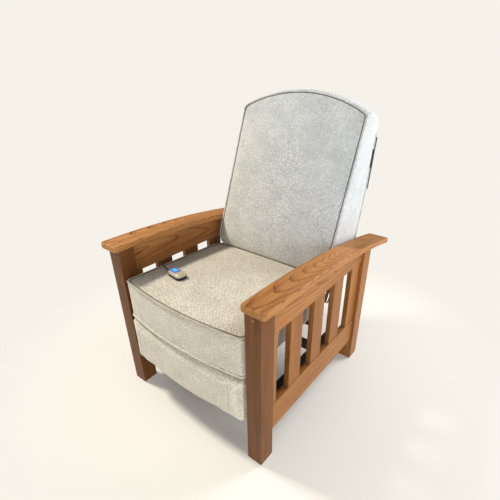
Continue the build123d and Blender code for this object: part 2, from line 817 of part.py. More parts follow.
frame_front = back_foam_depth + strap_thickness + running_gap
frame_half_width = back_half_width - back_border_thickness
stile_inner_x = frame_half_width - stile_width
with BuildPart() as back_stiles:
    for side, hand in right_and_left:
        with BuildSketch(back_side.offset(side * (frame_half_width - stile_width / 2))):
            with Locations((frame_front, stile_foot)):
                Rectangle(stile_depth, stile_top - stile_foot, align=Align.MIN)
        extrude(amount=stile_width / 2, both=True)
write(back_stiles, "back_stiles")

with BuildPart() as back_rails:
    with BuildSketch(back_face.offset(-frame_front)):
        with BuildLine():
            rail_arch = arch_radius - 2 * back_border_thickness
            rail_rise = arch_centre + sqrt(rail_arch**2 - stile_inner_x**2)
            low_rise = rail_rise - back_rail_height
            rail_crown = (0, arch_centre + rail_arch)
            ThreePointArc((-stile_inner_x, rail_rise), rail_crown, (stile_inner_x, rail_rise))
            Polyline(
                (stile_inner_x, rail_rise),
                (stile_inner_x, low_rise),
                (-stile_inner_x, low_rise),
                (-stile_inner_x, rail_rise),
            )
        make_face()
    extrude(amount=-back_rail_thickness)
    with BuildSketch(back_face.offset(-frame_front)):
        with Locations((0, back_bottom)):
            Rectangle(2 * bracket_inner_x, back_rail_height, align=(Align.CENTER, Align.MIN))
    extrude(amount=-back_rail_thickness)
write(back_rails, "back_rails")

strap_zone = low_rise - back_bottom - back_rail_height
with BuildPart() as back_straps:
    with BuildSketch(back_face.offset(-frame_front)):
        for i in range(strap_count):
            strap_rise = back_bottom + back_rail_height + (i + 1 / 2) * strap_zone / strap_count
            with Locations((0, strap_rise)):
                Rectangle(2 * (stile_inner_x + strap_lap), strap_width)
    extrude(amount=strap_thickness)
write(back_straps, "back_straps")


def back_rear_arc(inset):
    """The rear line of the back in its side view, moved forward by an inset."""
    line = ThreePointArc(
        (back_foot_thickness - inset, back_bottom + back_foot_rise),
        (back_middle_thickness - inset, back_bottom + back_middle_rise),
        (back_top_thickness - inset, back_bottom + back_top_rise),
    )
    return line


def side_border_view(side):
    """The side view of the back, in the middle of one of its side borders."""
    return back_side.offset(side * (back_half_width - back_border_thickness / 2))


skin_start = back_foam_depth + running_gap
panel_inset = back_panel_thickness + closing_strip_thickness
flap_foot = back_bottom + back_top_rise
cap_radius = arch_radius + back_top_lift


def arched_face(radius):
    """The outline of the back's top over the frame, under an arch of a radius."""
    with BuildSketch(back_face.offset(-skin_start)) as outline:
        with BuildLine():
            side_rise = arch_centre + sqrt(radius**2 - frame_half_width**2)
            left_corner = (frame_half_width, side_rise)
            right_corner = (-frame_half_width, side_rise)
            ThreePointArc(right_corner, (0, arch_centre + radius), left_corner)
            left_foot = (frame_half_width, flap_foot)
            Polyline(left_corner, left_foot, (-frame_half_width, flap_foot), right_corner)
        make_face()
    return outline.sketch


with BuildPart() as back_borders:
    extrude(arched_face(cap_radius), amount=skin_start - back_top_thickness)
    arch_edges = back_borders.edges().filter_by(GeomType.CIRCLE)
    fillet(arch_edges.sort_by(Axis.Y)[-1], back_top_round)
    cap_hollow = arched_face(cap_radius - back_border_thickness)
    hollow_depth = back_top_thickness - back_flap_thickness - skin_start
    extrude(cap_hollow, amount=-hollow_depth, mode=Mode.SUBTRACT)
    border_top = arch_centre + sqrt(cap_radius**2 - back_half_width**2)
    for side, hand in right_and_left:
        with BuildSketch(side_border_view(side)) as border_view:
            with BuildLine():
                rear_arc = back_rear_arc(panel_inset)
                Polyline(
                    rear_arc @ 1,
                    (back_top_thickness, flap_foot),
                    (back_top_thickness, border_top),
                    (skin_start, border_top),
                    (skin_start, back_bottom + back_foot_round),
                    rear_arc @ 0,
                )
            make_face()
            top_rear = border_view.vertices().group_by(Axis.Y)[-1].sort_by(Axis.X)[-1]
            fillet(top_rear, back_top_round)
        extrude(amount=back_border_thickness / 2, both=True)
write(back_borders, "back_borders")


def rear_strip(far_inset, near_inset):
    """The face between two rear lines of the back."""
    with BuildLine() as strip:
        inner_line = back_rear_arc(far_inset)
        outer_line = back_rear_arc(near_inset)
        Line(inner_line @ 0, outer_line @ 0)
        Line(inner_line @ 1, outer_line @ 1)
    make_face(strip.line)


with BuildPart() as back_outer_panel:
    with BuildSketch(back_side.offset(-back_half_width)):
        rear_strip(back_panel_thickness, 0)
    extrude(amount=2 * back_half_width)
write(back_outer_panel, "back_outer_panel")

with BuildPart() as closing_strips:
    strip_length = closing_strip_top - closing_strip_foot
    strip_align = (Align.CENTER, Align.MIN)
    for side, hand in right_and_left:
        with BuildSketch(side_border_view(side)):
            rear_strip(panel_inset, back_panel_thickness)
            with Locations((0, closing_strip_foot)):
                strip_box = (2 * back_foot_thickness, strip_length)
                Rectangle(*strip_box, align=strip_align, mode=Mode.INTERSECT)
        extrude(amount=back_border_thickness / 2, both=True)
write(closing_strips, "closing_strips")

with BuildPart() as back_brackets:
    reach_point = across(bracket_reach).from_local_coords((0, frame_front + stile_depth / 2))
    bracket_corners = (
        (back_pivot_depth, back_pivot_height, bracket_end_radius),
        (reach_point.Y - at(0), reach_point.Z, bracket_end_radius),
        (bracket_lobe_depth, bracket_lobe_height, bracket_lobe_radius),
    )
    for side, hand in right_and_left:
        with BuildSketch(side_view.offset(side * bracket_outer_x)):
            for depth, height, radius in bracket_corners:
                with Locations((depth, height)):
                    Circle(radius)
            make_hull()
            with Locations((back_pivot_depth, back_pivot_height)):
                Circle(back_pivot_radius + bore_gap, mode=Mode.SUBTRACT)
            for share in bracket_slot_shares:
                slot_depth = back_pivot_depth + share * bracket_lobe_run
                slot_height = back_pivot_height - share * bracket_lobe_drop
                with Locations(Location((slot_depth, slot_height), bracket_slot_turn)):
                    SlotOverall(bracket_slot_length, bracket_slot_width, mode=Mode.SUBTRACT)
        extrude(amount=-side * plate_thickness)
write(back_brackets, "back_brackets")

# Footrest, stowed in front of the seat box
footrest_middle = (footrest_bottom + footrest_top) / 2
footrest_corner_y = at(footrest_bow - footrest_front)
footrest_stations = (
    (footrest_bottom, footrest_crown_share),
    (footrest_middle, 1),
    (footrest_top, footrest_crown_share),
)


def footrest_outline(crown_share):
    """The footrest pad seen from above, its front bowed by a share of the bow."""
    with BuildLine() as outline:
        right_corner = (-footrest_half_width, footrest_corner_y)
        left_corner = (footrest_half_width, footrest_corner_y)
        bow_point = (0, footrest_corner_y - crown_share * footrest_bow)
        ThreePointArc(right_corner, bow_point, left_corner)
        left_rear = (footrest_half_width, at(footrest_back_depth))
        right_rear = (-footrest_half_width, at(footrest_back_depth))
        Polyline(left_corner, left_rear, right_rear, right_corner)
    make_face(outline.line)


with BuildPart() as footrest_pad:
    for height, crown_share in footrest_stations:
        with BuildSketch(Plane.XY.offset(height)):
            footrest_outline(crown_share)
    loft()
    with BuildSketch(Plane.XY.offset(footrest_bottom)) as pad_plan:
        footrest_outline(1)
        fillet(pad_plan.vertices().group_by(Axis.Y)[0], footrest_corner_round)
    extrude(amount=footrest_top - footrest_bottom, mode=Mode.INTERSECT)
write(footrest_pad, "footrest_pad")

with BuildPart() as footrest_board:
    board_wide = 2 * (footrest_half_width - border_thickness)
    board_tall = footrest_top - footrest_bottom - 2 * footrest_board_margin
    board_foot = footrest_bottom + footrest_board_margin
    with Locations((0, at(footrest_back_depth), board_foot)):
        Box(board_wide, footrest_board_thickness, board_tall, align=corner_align)
write(footrest_board, "footrest_board")

# Folding links: a lower pair on the torque bar and an upper pair on the footrest
knee_depth = torque_depth - link_length * cos(radians(link_stowed_angle))
knee_height = torque_height - link_length * sin(radians(link_stowed_angle))
knee = (knee_depth, knee_height)
torque_axis = (torque_depth, torque_height)
footrest_axis = (footrest_pivot_depth, footrest_pivot_height)
lower_outer_x = plate_inner_x - rivet_head_height - link_gap - running_gap
lower_inner_x = lower_outer_x - link_thickness
upper_outer_x = lower_inner_x - link_gap
upper_inner_x = upper_outer_x - link_thickness
ear_outer_x = upper_inner_x - link_gap
ear_inner_x = ear_outer_x - link_thickness


def link_bar(start, end, angle):
    """A bar with round ends between two pivots, in the side view."""
    middle = ((start[0] + end[0]) / 2, (start[1] + end[1]) / 2)
    with Locations(Location(middle, angle)):
        SlotCenterToCenter(link_length, link_width)


with BuildPart() as lower_link_bars:
    for side, hand in right_and_left:
        with BuildSketch(side_view.offset(side * lower_outer_x)):
            link_bar(torque_axis, knee, link_stowed_angle)
            with Locations(torque_axis):
                Circle(link_boss_radius)
                Circle(torque_tube_radius, mode=Mode.SUBTRACT)
            with Locations(knee):
                Circle(rivet_radius, mode=Mode.SUBTRACT)
        extrude(amount=-side * link_thickness)
write(lower_link_bars, "lower_link_bars")

with BuildPart() as upper_link_bars:
    for side, hand in right_and_left:
        with BuildSketch(side_view.offset(side * upper_outer_x)):
            link_bar(knee, footrest_axis, -link_stowed_angle)
            with Locations(knee):
                Circle(rivet_radius + bore_gap, mode=Mode.SUBTRACT)
            with Locations(footrest_axis):
                Circle(rivet_radius, mode=Mode.SUBTRACT)
        extrude(amount=-side * link_thickness)
write(upper_link_bars, "upper_link_bars")


def rivets(place, outer, inner):
    """A rivet on each side, headed at both ends, through a pivot."""
    rivet_parts = (
        (rivet_radius, outer, inner),
        (rivet_head_radius, outer + rivet_head_height, outer),
        (rivet_head_radius, inner, inner - rivet_head_height),
    )
    for side, hand in right_and_left:
        for radius, high, low in rivet_parts:
            with BuildSketch(side_view.offset(side * low)) as section:
                with Locations(place):
                    Circle(radius)
            extrude(section.sketch, amount=side * (high - low))


with BuildPart() as knee_rivets:
    rivets(knee, lower_outer_x, upper_inner_x - running_gap)
write(knee_rivets, "knee_rivets")

with BuildPart() as footrest_rivets:
    rivets(footrest_axis, upper_outer_x, ear_inner_x - running_gap)
write(footrest_rivets, "footrest_rivets")

with BuildPart() as footrest_brackets:
    board_rear = footrest_back_depth + footrest_board_thickness
    ear_run = footrest_pivot_depth - board_rear
    ear_foot_height = ear_foot_drop - rivet_head_radius - link_gap
    for side, hand in right_and_left:
        with BuildSketch(side_view.offset(side * ear_outer_x)):
            with Locations(footrest_axis):
                Circle(link_width / 2)
            with Locations((board_rear, footrest_pivot_height)):
                Rectangle(ear_run, ear_foot_drop, align=(Align.MIN, Align.MAX))
            with Locations(footrest_axis):
                Circle(rivet_radius + bore_gap, mode=Mode.SUBTRACT)
        extrude(amount=-side * link_thickness)
        foot_x = side * (ear_outer_x - ear_foot_width / 2)
        with Locations((foot_x, at(board_rear), footrest_pivot_height - ear_foot_drop)):
            Box(ear_foot_width, link_thickness, ear_foot_height, align=corner_align)
write(footrest_brackets, "footrest_brackets")

# Torque bar with its crank. The crank's slot takes up the small rise of the pin.
half_swing = (link_stowed_angle - link_open_angle) / 2
crank_angle = 90 - half_swing
crank_out = (cos(radians(crank_angle)), -sin(radians(crank_angle)))
swing_run = crank_throw * tan(radians(half_swing))
slot_far = crank_throw / cos(radians(half_swing))
even_swing = degrees(acos(sqrt(crank_throw * radians(half_swing) / swing_run)))
slot_drift = swing_run * even_swing / half_swing - crank_throw * tan(radians(even_swing))
slot_half = clevis_pin_radius + slot_drift * cos(radians(even_swing)) + slot_play
with BuildPart() as torque_bar:
    bar_shoulder_x = plate_inner_x - bush_flange_thickness - running_gap
    journal_end_x = plate_outer_x - running_gap
    for radius, reach in ((torque_tube_radius, bar_shoulder_x), (journal_radius, journal_end_x)):
        with BuildSketch(side_view.offset(-reach)):
            with Locations(torque_axis):
                Circle(radius)
        extrude(amount=2 * reach)
    with BuildSketch(side_view.offset(-crank_thickness / 2)):
        plate_depth = torque_depth + slot_far / 2 * crank_out[0]
        plate_height = torque_height + slot_far / 2 * crank_out[1]
        with Locations(Location((plate_depth, plate_height), -crank_angle)):
            SlotCenterToCenter(slot_far, 2 * (slot_half + crank_rim))
        slot_middle = (crank_throw + slot_far) / 2
        slot_place = (torque_depth + slot_middle * crank_out[0], torque_height + slot_middle * crank_out[1])
        with Locations(Location(slot_place, -crank_angle)):
            slot_run = slot_far - crank_throw + 2 * slot_play
            SlotCenterToCenter(slot_run, 2 * slot_half, mode=Mode.SUBTRACT)
    extrude(amount=crank_thickness)
write(torque_bar, "torque_bar")

# Linear actuator, lying level under the seat
actuator_height = torque_height - crank_throw
pin_depth = torque_depth + swing_run
fork_slot_half = crank_thickness / 2 + fork_gap
fork_half = fork_slot_half + fork_wall
rod_start = pin_depth + fork_open_length + fork_block_length
rod_length = gearbox_start - fork_wall - rod_end_gap - rod_start
with BuildPart() as actuator_rod:
    fork_tip = pin_depth - fork_height / 2
    with Locations((0, at(fork_tip), actuator_height)):
        fork_align = (Align.CENTER, Align.MIN, Align.CENTER)
        Box(2 * fork_half, rod_start - fork_tip, fork_height, align=fork_align)
        fork_open = pin_depth + fork_open_length - fork_tip
        Box(2 * fork_slot_half, fork_open, fork_height, align=fork_align, mode=Mode.SUBTRACT)
    with Locations((0, at(pin_depth), actuator_height)):
        Cylinder(clevis_pin_radius, 4 * fork_half, rotation=(0, 90, 0), mode=Mode.SUBTRACT)
    with Locations((0, at(rod_start), actuator_height)):
        Cylinder(rod_radius, rod_length, rotation=(-90, 0, 0), align=stand_align)
write(actuator_rod, "actuator_rod")

with BuildPart() as clevis_pin:
    with Locations((0, at(pin_depth), actuator_height)):
        Cylinder(clevis_pin_radius, 2 * (fork_half + running_gap), rotation=(0, 90, 0))
write(clevis_pin, "clevis_pin")

with BuildPart() as actuator_tube:
    tube_length = gearbox_start - actuator_tube_start
    tube_bore = tube_length - fork_wall
    with Locations((0, at(actuator_tube_start), actuator_height)):
        Cylinder(actuator_tube_radius, tube_length, rotation=(-90, 0, 0), align=stand_align)
        bore_radius = rod_radius + bore_gap
        Cylinder(bore_radius, tube_bore, rotation=(-90, 0, 0), align=stand_align, mode=Mode.SUBTRACT)
write(actuator_tube, "actuator_tube")

gearbox_end = gearbox_start + gearbox_length
motor_middle = ((gearbox_start + gearbox_end) / 2, actuator_height)
with BuildPart() as actuator_gearbox:
    with Locations((0, at(motor_middle[0]), actuator_height)):
        Box(gearbox_side, gearbox_length, gearbox_side)
    fillet(actuator_gearbox.edges().filter_by(Axis.Y), gearbox_side / 8)
    with BuildSketch(side_view.offset(-rear_eye_thickness / 2)):
        with Locations((gearbox_end, actuator_height)):
            eye_size = (rear_eye_depth - gearbox_end, 2 * rear_eye_radius)
            Rectangle(*eye_size, align=(Align.MIN, Align.CENTER))
        with Locations((rear_eye_depth, actuator_height)):
            Circle(rear_eye_radius)
            Circle(clevis_pin_radius + bore_gap, mode=Mode.SUBTRACT)
    extrude(amount=rear_eye_thickness)
write(actuator_gearbox, "actuator_gearbox")

with BuildPart() as actuator_motor:
    motor_place = side_view.offset(gearbox_side / 2)
    with BuildSketch(motor_place):
        with Locations(motor_middle):
            Circle(motor_neck_radius)
    extrude(amount=motor_neck)
    with BuildSketch(motor_place.offset(motor_neck)):
        with Locations(motor_middle):
            Circle(motor_radius)
    extrude(amount=motor_length)
    fillet(actuator_motor.faces().sort_by(Axis.X)[-1].edges(), motor_neck / 2)
write(actuator_motor, "actuator_motor")

# Control box on the right seat rail
box_x = box_width / 2 - plate_inner_x
box_end = box_start + box_length
box_middle_height = (box_bottom + box_top) / 2
with BuildPart() as control_box:
    with Locations((box_x, at((box_start + box_end) / 2), box_middle_height)):
        Box(box_width, box_length, box_top - box_bottom)
    fillet(control_box.edges().filter_by(Axis.Y).group_by(Axis.X)[-1], box_edge_round)
write(control_box, "control_box")

with BuildPart() as power_inlet:
    with Locations((box_x, at(box_end), box_middle_height)):
        Cylinder(inlet_radius, inlet_length, rotation=(-90, 0, 0), align=stand_align)
    with Locations((box_x, at(box_end + inlet_length), box_middle_height)):
        Cylinder(inlet_bore, inlet_length, rotation=(-90, 0, 0), mode=Mode.SUBTRACT)
write(power_inlet, "power_inlet")

# Handset, which leans with the crown of the cushion that it lies on
handset_foot = (handset_x, at(handset_depth), seat_side(handset_depth) + handset_seat_rise)
handset_angles = (handset_pitch, handset_lean, handset_turn)
handset_place = Plane(Location(handset_foot, handset_angles))
shell_top = handset_base_height + handset_shell_height
with BuildPart() as handset_base:
    with BuildSketch(handset_place):
        RectangleRounded(handset_length, handset_width, handset_end_round)
    extrude(amount=handset_base_height)
    fillet(handset_base.faces().sort_by(Axis.Z)[0].edges(), handset_foot_round)
write(handset_base, "handset_base")


def button_windows():
    """The two openings that the buttons stand in."""
    with GridLocations(button_spacing, 0, 2, 1):
        Rectangle(button_length + 2 * button_gap, button_width + 2 * button_gap)


with BuildPart() as handset_shell:
    shell_length = handset_length - 2 * handset_shell_inset
    shell_width = handset_width - 2 * handset_shell_inset
    with BuildSketch(handset_place.offset(handset_base_height)):
        RectangleRounded(shell_length, shell_width, handset_end_round - handset_shell_inset)
    extrude(amount=handset_shell_height)
    fillet(handset_shell.faces().sort_by(Axis.Z)[-1].edges(), handset_shell_round)
    with BuildSketch(handset_place.offset(shell_top)):
        with Locations((-keypad_offset, 0)):
            RectangleRounded(keypad_length, keypad_width, keypad_round)
    extrude(amount=keypad_rim - keypad_thickness, mode=Mode.SUBTRACT)
    with BuildSketch(handset_place.offset(shell_top)):
        with Locations((-keypad_offset, 0)):
            button_windows()
    well_depth = button_height - button_proud - keypad_rim + button_travel + running_gap
    extrude(amount=-well_depth, mode=Mode.SUBTRACT)
write(handset_shell, "handset_shell")

with BuildPart() as keypad_plate:
    with BuildSketch(handset_place.offset(shell_top + keypad_rim)):
        with Locations((-keypad_offset, 0)):
            RectangleRounded(keypad_length, keypad_width, keypad_round)
    extrude(amount=-keypad_thickness)
    with BuildSketch(handset_place.offset(shell_top + keypad_rim)):
        with Locations((-keypad_offset, 0)):
            button_windows()
    extrude(amount=-keypad_thickness, mode=Mode.SUBTRACT)
write(keypad_plate, "keypad_plate")

button_top = shell_top + keypad_rim + button_proud
for step, name in ((-1, "button_recline"), (1, "button_return")):
    with BuildPart() as button:
        with BuildSketch(handset_place.offset(button_top)):
            with Locations((step * button_spacing / 2 - keypad_offset, 0)):
                RectangleRounded(button_length, button_width, button_length / 8)
        extrude(amount=-button_height)
    write(button, name)

with BuildPart() as strain_relief:
    relief_height = handset_base_height / 2
    relief_start = handset_place.from_local_coords((-handset_length / 2, 0, relief_height))
    relief_plane = Plane(relief_start, z_dir=-handset_place.x_dir)
    with BuildSketch(relief_plane):
        Circle(relief_radius)
    with BuildSketch(relief_plane.offset(relief_length)):
        Circle(relief_tip_radius)
    loft()
write(strain_relief, "strain_relief")

# Handset cord: over the cushion's edge, down beside the seat, and up into the control box
cord_tip = handset_place.from_local_coords((-handset_length / 2 - relief_length, 0, relief_height))
cord_route = (
    (-237.0, 147.0, 507.1),
    (-263.0, 157.0, 507.2),
    (-286.0, 166.0, 501.3),
    (-296.0, 173.0, 486.0),
    (-297.0, 181.0, 456.0),
    (-295.5, 190.0, 421.0),
    (-294.5, 201.0, 387.0),
    (-290.0, 211.0, 354.0),
    (-277.5, 222.0, 326.0),
    (-257.0, 235.0, 305.0),
    (-237.0, 251.0, 291.0),
    (-224.0, 270.0, 283.0),
    (-219.0, 290.5, 281.0),
    (box_x, box_start + cord_inset, 286.0),
    (box_x, box_start + cord_inset, box_bottom),
)
cord_points = [cord_tip, cord_tip - handset_place.x_dir * cord_lead]
cord_points += [Vector(x, at(depth), height) for x, depth, height in cord_route]
cord_runs = [(b - a) for a, b in zip(cord_points, cord_points[1:])]
cord_radii = []
for before, after in zip(cord_runs, cord_runs[1:]):
    half_turn = radians(before.get_angle(after)) / 2
    cord_radii.append(cord_bend_share * min(before.length, after.length) / tan(half_turn))
with BuildPart() as handset_cord:
    with BuildLine() as cord_path:
        FilletPolyline(*cord_points, radius=cord_radii)
    with BuildSketch(Plane(cord_tip, z_dir=cord_runs[0])):
        Circle(cord_radius)
    sweep()
write(handset_cord, "handset_cord")
print("cord runs", [round(run.length, 1) for run in cord_runs])
print("cord radii", [round(radius, 1) for radius in cord_radii])
cord_section = Circle(cord_radius).area
cord_length = cord_path.wire().length
volume_share = handset_cord.part.volume / cord_section / cord_length
print("cord length", round(cord_length), "volume over section times length", volume_share)
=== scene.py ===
from math import cos, pi, radians, sin, sqrt

import bmesh
import bpy
import numpy as np
from mathutils import Matrix, Vector


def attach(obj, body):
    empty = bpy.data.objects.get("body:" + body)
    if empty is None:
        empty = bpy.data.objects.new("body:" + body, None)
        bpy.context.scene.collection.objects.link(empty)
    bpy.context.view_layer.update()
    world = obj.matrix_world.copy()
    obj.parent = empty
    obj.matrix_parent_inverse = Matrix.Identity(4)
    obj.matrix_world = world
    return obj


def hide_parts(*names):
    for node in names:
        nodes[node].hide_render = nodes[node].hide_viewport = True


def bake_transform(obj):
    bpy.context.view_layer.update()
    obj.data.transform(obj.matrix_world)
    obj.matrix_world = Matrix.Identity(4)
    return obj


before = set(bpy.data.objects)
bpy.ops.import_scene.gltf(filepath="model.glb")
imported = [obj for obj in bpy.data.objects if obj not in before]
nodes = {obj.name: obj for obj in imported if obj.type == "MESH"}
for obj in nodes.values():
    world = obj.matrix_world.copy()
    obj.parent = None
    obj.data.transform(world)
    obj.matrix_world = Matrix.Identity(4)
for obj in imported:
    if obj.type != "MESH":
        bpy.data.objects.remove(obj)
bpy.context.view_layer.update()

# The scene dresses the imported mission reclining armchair. Metres, +Z up, the chair faces -Y.
# Right and left are the sitter's, so right is -X. A depth runs from the front of the front posts.
scene = bpy.context.scene

# Camera
camera_azimuth = radians(36.645)
camera_elevation = radians(28.841)
camera_roll = radians(0.573)
camera_distance = 1.5736
camera_target = Vector((-0.013455, 0.0957, 0.4))
camera_sensor = 36.0
camera_lens = 26.22
camera_shift = (-0.0359, 0.0469)

# The Y of the front of the front posts
front_face = -0.4085

# Handset lead: the route after the strain relief, as (x, depth, height), and the handset's place
cord_diameter = 0.0045
cord_route = (
    (-0.237, 0.147, 0.5071),
    (-0.263, 0.157, 0.5072),
    (-0.286, 0.166, 0.5013),
    (-0.296, 0.173, 0.486),
    (-0.297, 0.181, 0.456),
    (-0.2955, 0.190, 0.421),
    (-0.2945, 0.201, 0.387),
    (-0.290, 0.211, 0.354),
    (-0.2775, 0.222, 0.326),
    (-0.257, 0.235, 0.305),
    (-0.237, 0.251, 0.291),
    (-0.224, 0.270, 0.283),
    (-0.219, 0.2905, 0.281),
    (-0.2183, 0.318, 0.286),
    (-0.2183, 0.318, 0.312),
)
handset_foot = Vector((-0.138, 0.1245 + front_face, 0.51102))
handset_angles = (radians(0.11), radians(-4.05), radians(-10.6))
handset_length = 0.08
relief_length = 0.014
relief_height = 0.0045
cord_lead = 0.022

# Seat. Its crown rises over crown_front, and falls off behind crown_full. A swell is the most
# that the cloth may move there
seat_half_width = 0.276
seat_rear = 0.496
seat_rear_corner = 0.058
seat_bow = 0.026
seat_corner = 0.018
seat_top = 0.5
seat_crown = 0.016
crown_front = 0.15
crown_full = 0.3
crown_tail = 0.18
crown_loss = 0.6
seat_fall = 0.0185
seat_foot = 0.349
seat_foot_inset = 0.004
seat_top_inset = 0.003
seat_edge_height = 0.008
seat_deck = 0.405
seat_rear_edge = 0.446
border_thickness = 0.014
seat_swell = 0.011
seat_side_swell = 0.0045
seat_border_swell = 0.008
hem_radius = 0.0055
hem_rise = 0.008
hem_inset = 0.0025
hem_end = 0.03

# Welts, dark cords along the stitched seams that are painted shade there, and how the back's face
# rises from its stitches
welt_radius = 0.0046
welt_inset = 0.003
seam_shadow_radius = 0.0016
stitch_inset = 0.0088
seam_shadow_lift = 0.0022
pinch_slope = 0.9
pinch_foot = 0.0015

# Back, drawn from its front face: across, up the face, and toward the rear
back_tilt = radians(20.66)
back_origin = Vector((0, 0.462 + front_face, 0.45))
back_half_width = 0.275
back_bottom = 0.043
back_shoulder = 0.630
back_rise = 0.068
back_shoulder_round = 0.012
back_foot_round = 0.052
back_bulge = 0.024
bulge_top_fade = 0.16
bulge_foot_fade = 0.05
back_top_lift = 0.018
back_foam = 0.0427
back_wall = 0.010
back_flap = 0.016
back_depth = 0.121
back_round = 0.03
back_round_turn = radians(80)
back_reach = 0.21
# Rings of the form, as (depth, lift of the arch)
back_lifts = (
    (0.0, 0.0),
    (0.012, 0.009),
    (0.04, back_top_lift),
    (back_depth - back_round, back_top_lift),
)
# Points of the rear line, as (depth, rise)
back_rear_line = ((0.200, 0.147), (0.168, 0.391), (0.121, 0.597))
rear_line_foot = 0.147
# The foot's rear is cut away here, and its cloth is held
foot_cut_depth = 0.043
foot_cut_rise = 0.09
foot_hold_depth = 0.035
foot_hold_rise = 0.06
arch_reach = 0.27
crest_gap = 0.011
cap_gap = 0.01
space_foot = -0.05
space_foot_round = 0.02
back_swell = 0.010
back_side_swell = 0.006

# Rear of the back: the cap's foot, the dark flaps and the outer panel
flap_foot = 0.597
flap_top = 0.585
flap_end = 0.40
flap_width = 0.011
flap_full = 0.75
flap_step = 0.78
flap_tip = 0.3
flap_inset = 0.004
flap_proud = 0.003
flap_lap = 0.001
panel_foot = 0.149
panel_top = flap_foot - 0.002
panel_thickness = 0.006
panel_inset = 0.0064
panel_edge = 0.012
panel_edge_drop = 0.002
panel_puff = 0.0025

# Footrest pad
footrest_half_width = 0.2755
footrest_bottom = 0.158
footrest_top = 0.344
footrest_front = 0.008
footrest_bow = 0.016
footrest_rear = 0.022
footrest_corner = 0.012
footrest_edge = 0.014
footrest_foot_round = 0.024
footrest_swell = 0.007
footrest_side_swell = 0.0035
footrest_side_band = 0.01
footrest_top_swell = 0.003
footrest_top_band = 0.012
footrest_seam_x = 0.222
footrest_seam_depth = 0.0022
footrest_seam_half = 0.003

# Cloth: the form starts a little inside the outline, and the bands say which points are held
voxel = 0.006
form_inset = 0.001
cloth_frames = 20
cloth_pressure = 4.0
face_band = 0.004
edge_band = 0.006
rear_band = 0.005
seam_height = 0.006
seam_width = 0.009
hold_gap = 0.003
side_gap = 0.002

# Cutters reach well past the form. The step keeps two of their tops out of one plane
cutter_low = 0.3
cutter_rear = 0.6
cutter_side = 0.4
cutter_far = 0.35
cutter_foot = -0.1
cutter_top = 0.9
cutter_step = 0.0001


def at(depth):
    """The Y of a point, from its depth behind the front of the front posts."""
    return front_face + depth


def back_point(x, rise, depth):
    """A point of the back in the row frame."""
    up = Vector((0, sin(back_tilt), cos(back_tilt)))
    rearward = Vector((0, cos(back_tilt), -sin(back_tilt)))
    return back_origin + Vector((x, 0, 0)) + up * rise + rearward * depth


# Node materials

class Nodes:
    """A small helper that adds and links the nodes of one material."""

    def __init__(self, name):
        self.material = bpy.data.materials.new(name)
        self.material.use_nodes = True
        self.tree = self.material.node_tree
        self.shader = self.tree.nodes["Principled BSDF"]

    def link(self, source, target):
        self.tree.links.new(source, target)

    def put(self, value, socket):
        """Set a socket to a number or colour, or link it to an output."""
        if isinstance(value, bpy.types.NodeSocket):
            self.link(value, socket)
        elif hasattr(value, "__len__") and len(value) == 3 and socket.type == "RGBA":
            socket.default_value = (*value, 1)
        else:
            socket.default_value = value

    def position(self):
        """The place of a point in the row frame, in metres."""
        return self.tree.nodes.new("ShaderNodeTexCoord").outputs["Object"]

    def normal(self):
        """The way that a point faces."""
        return self.tree.nodes.new("ShaderNodeTexCoord").outputs["Normal"]

    def mapped(self, vector, place=(0, 0, 0), turn=(0, 0, 0), scale=(1, 1, 1)):
        node = self.tree.nodes.new("ShaderNodeMapping")
        self.put(vector, node.inputs["Vector"])
        node.inputs["Location"].default_value = place
        node.inputs["Rotation"].default_value = turn
        node.inputs["Scale"].default_value = scale
        return node.outputs["Vector"]

    def math(self, operation, a, b=0.0):
        node = self.tree.nodes.new("ShaderNodeMath")
        node.operation = operation
        self.put(a, node.inputs[0])
        self.put(b, node.inputs[1])
        return node.outputs[0]

    def vector(self, operation, a, b=(0, 0, 0)):
        node = self.tree.nodes.new("ShaderNodeVectorMath")
        node.operation = operation
        self.put(a, node.inputs[0])
        self.put(b, node.inputs[1])
        out = "Value" if operation in ("DOT_PRODUCT", "LENGTH") else "Vector"
        return node.outputs[out]

    def split(self, vector):
        """The three parts of a vector."""
        node = self.tree.nodes.new("ShaderNodeSeparateXYZ")
        self.put(vector, node.inputs["Vector"])
        return [node.outputs[axis] for axis in "XYZ"]

    def join(self, x, y, z):
        """A vector from its three parts."""
        node = self.tree.nodes.new("ShaderNodeCombineXYZ")
        for axis, value in zip("XYZ", (x, y, z)):
            self.put(value, node.inputs[axis])
        return node.outputs["Vector"]

    def noise(self, vector, scale, detail=3.0, roughness=0.5):
        node = self.tree.nodes.new("ShaderNodeTexNoise")
        self.put(vector, node.inputs["Vector"])
        node.inputs["Scale"].default_value = scale
        node.inputs["Detail"].default_value = detail
        node.inputs["Roughness"].default_value = roughness
        return node.outputs["Fac"]

    def ramp(self, value, low, high, near=0.0, far=1.0):
        """Stretch a value from low..high to near..far, and hold it there."""
        node = self.tree.nodes.new("ShaderNodeMapRange")
        self.put(value, node.inputs["Value"])
        node.inputs["From Min"].default_value = low
        node.inputs["From Max"].default_value = high
        node.inputs["To Min"].default_value = near
        node.inputs["To Max"].default_value = far
        return node.outputs["Result"]

    def mix(self, share, a, b):
        node = self.tree.nodes.new("ShaderNodeMix")
        node.data_type = "RGBA"
        self.put(share, node.inputs["Factor"])
        self.put(a, node.inputs["A"])
        self.put(b, node.inputs["B"])
        return node.outputs["Result"]

    def bump(self, height, distance, strength=1.0):
        node = self.tree.nodes.new("ShaderNodeBump")
        self.put(height, node.inputs["Height"])
        node.inputs["Distance"].default_value = distance
        node.inputs["Strength"].default_value = strength
        self.link(node.outputs["Normal"], self.shader.inputs["Normal"])

    def set(self, **values):
        for name, value in values.items():
            self.put(value, self.shader.inputs[name.replace("_", " ")])
        return self.material


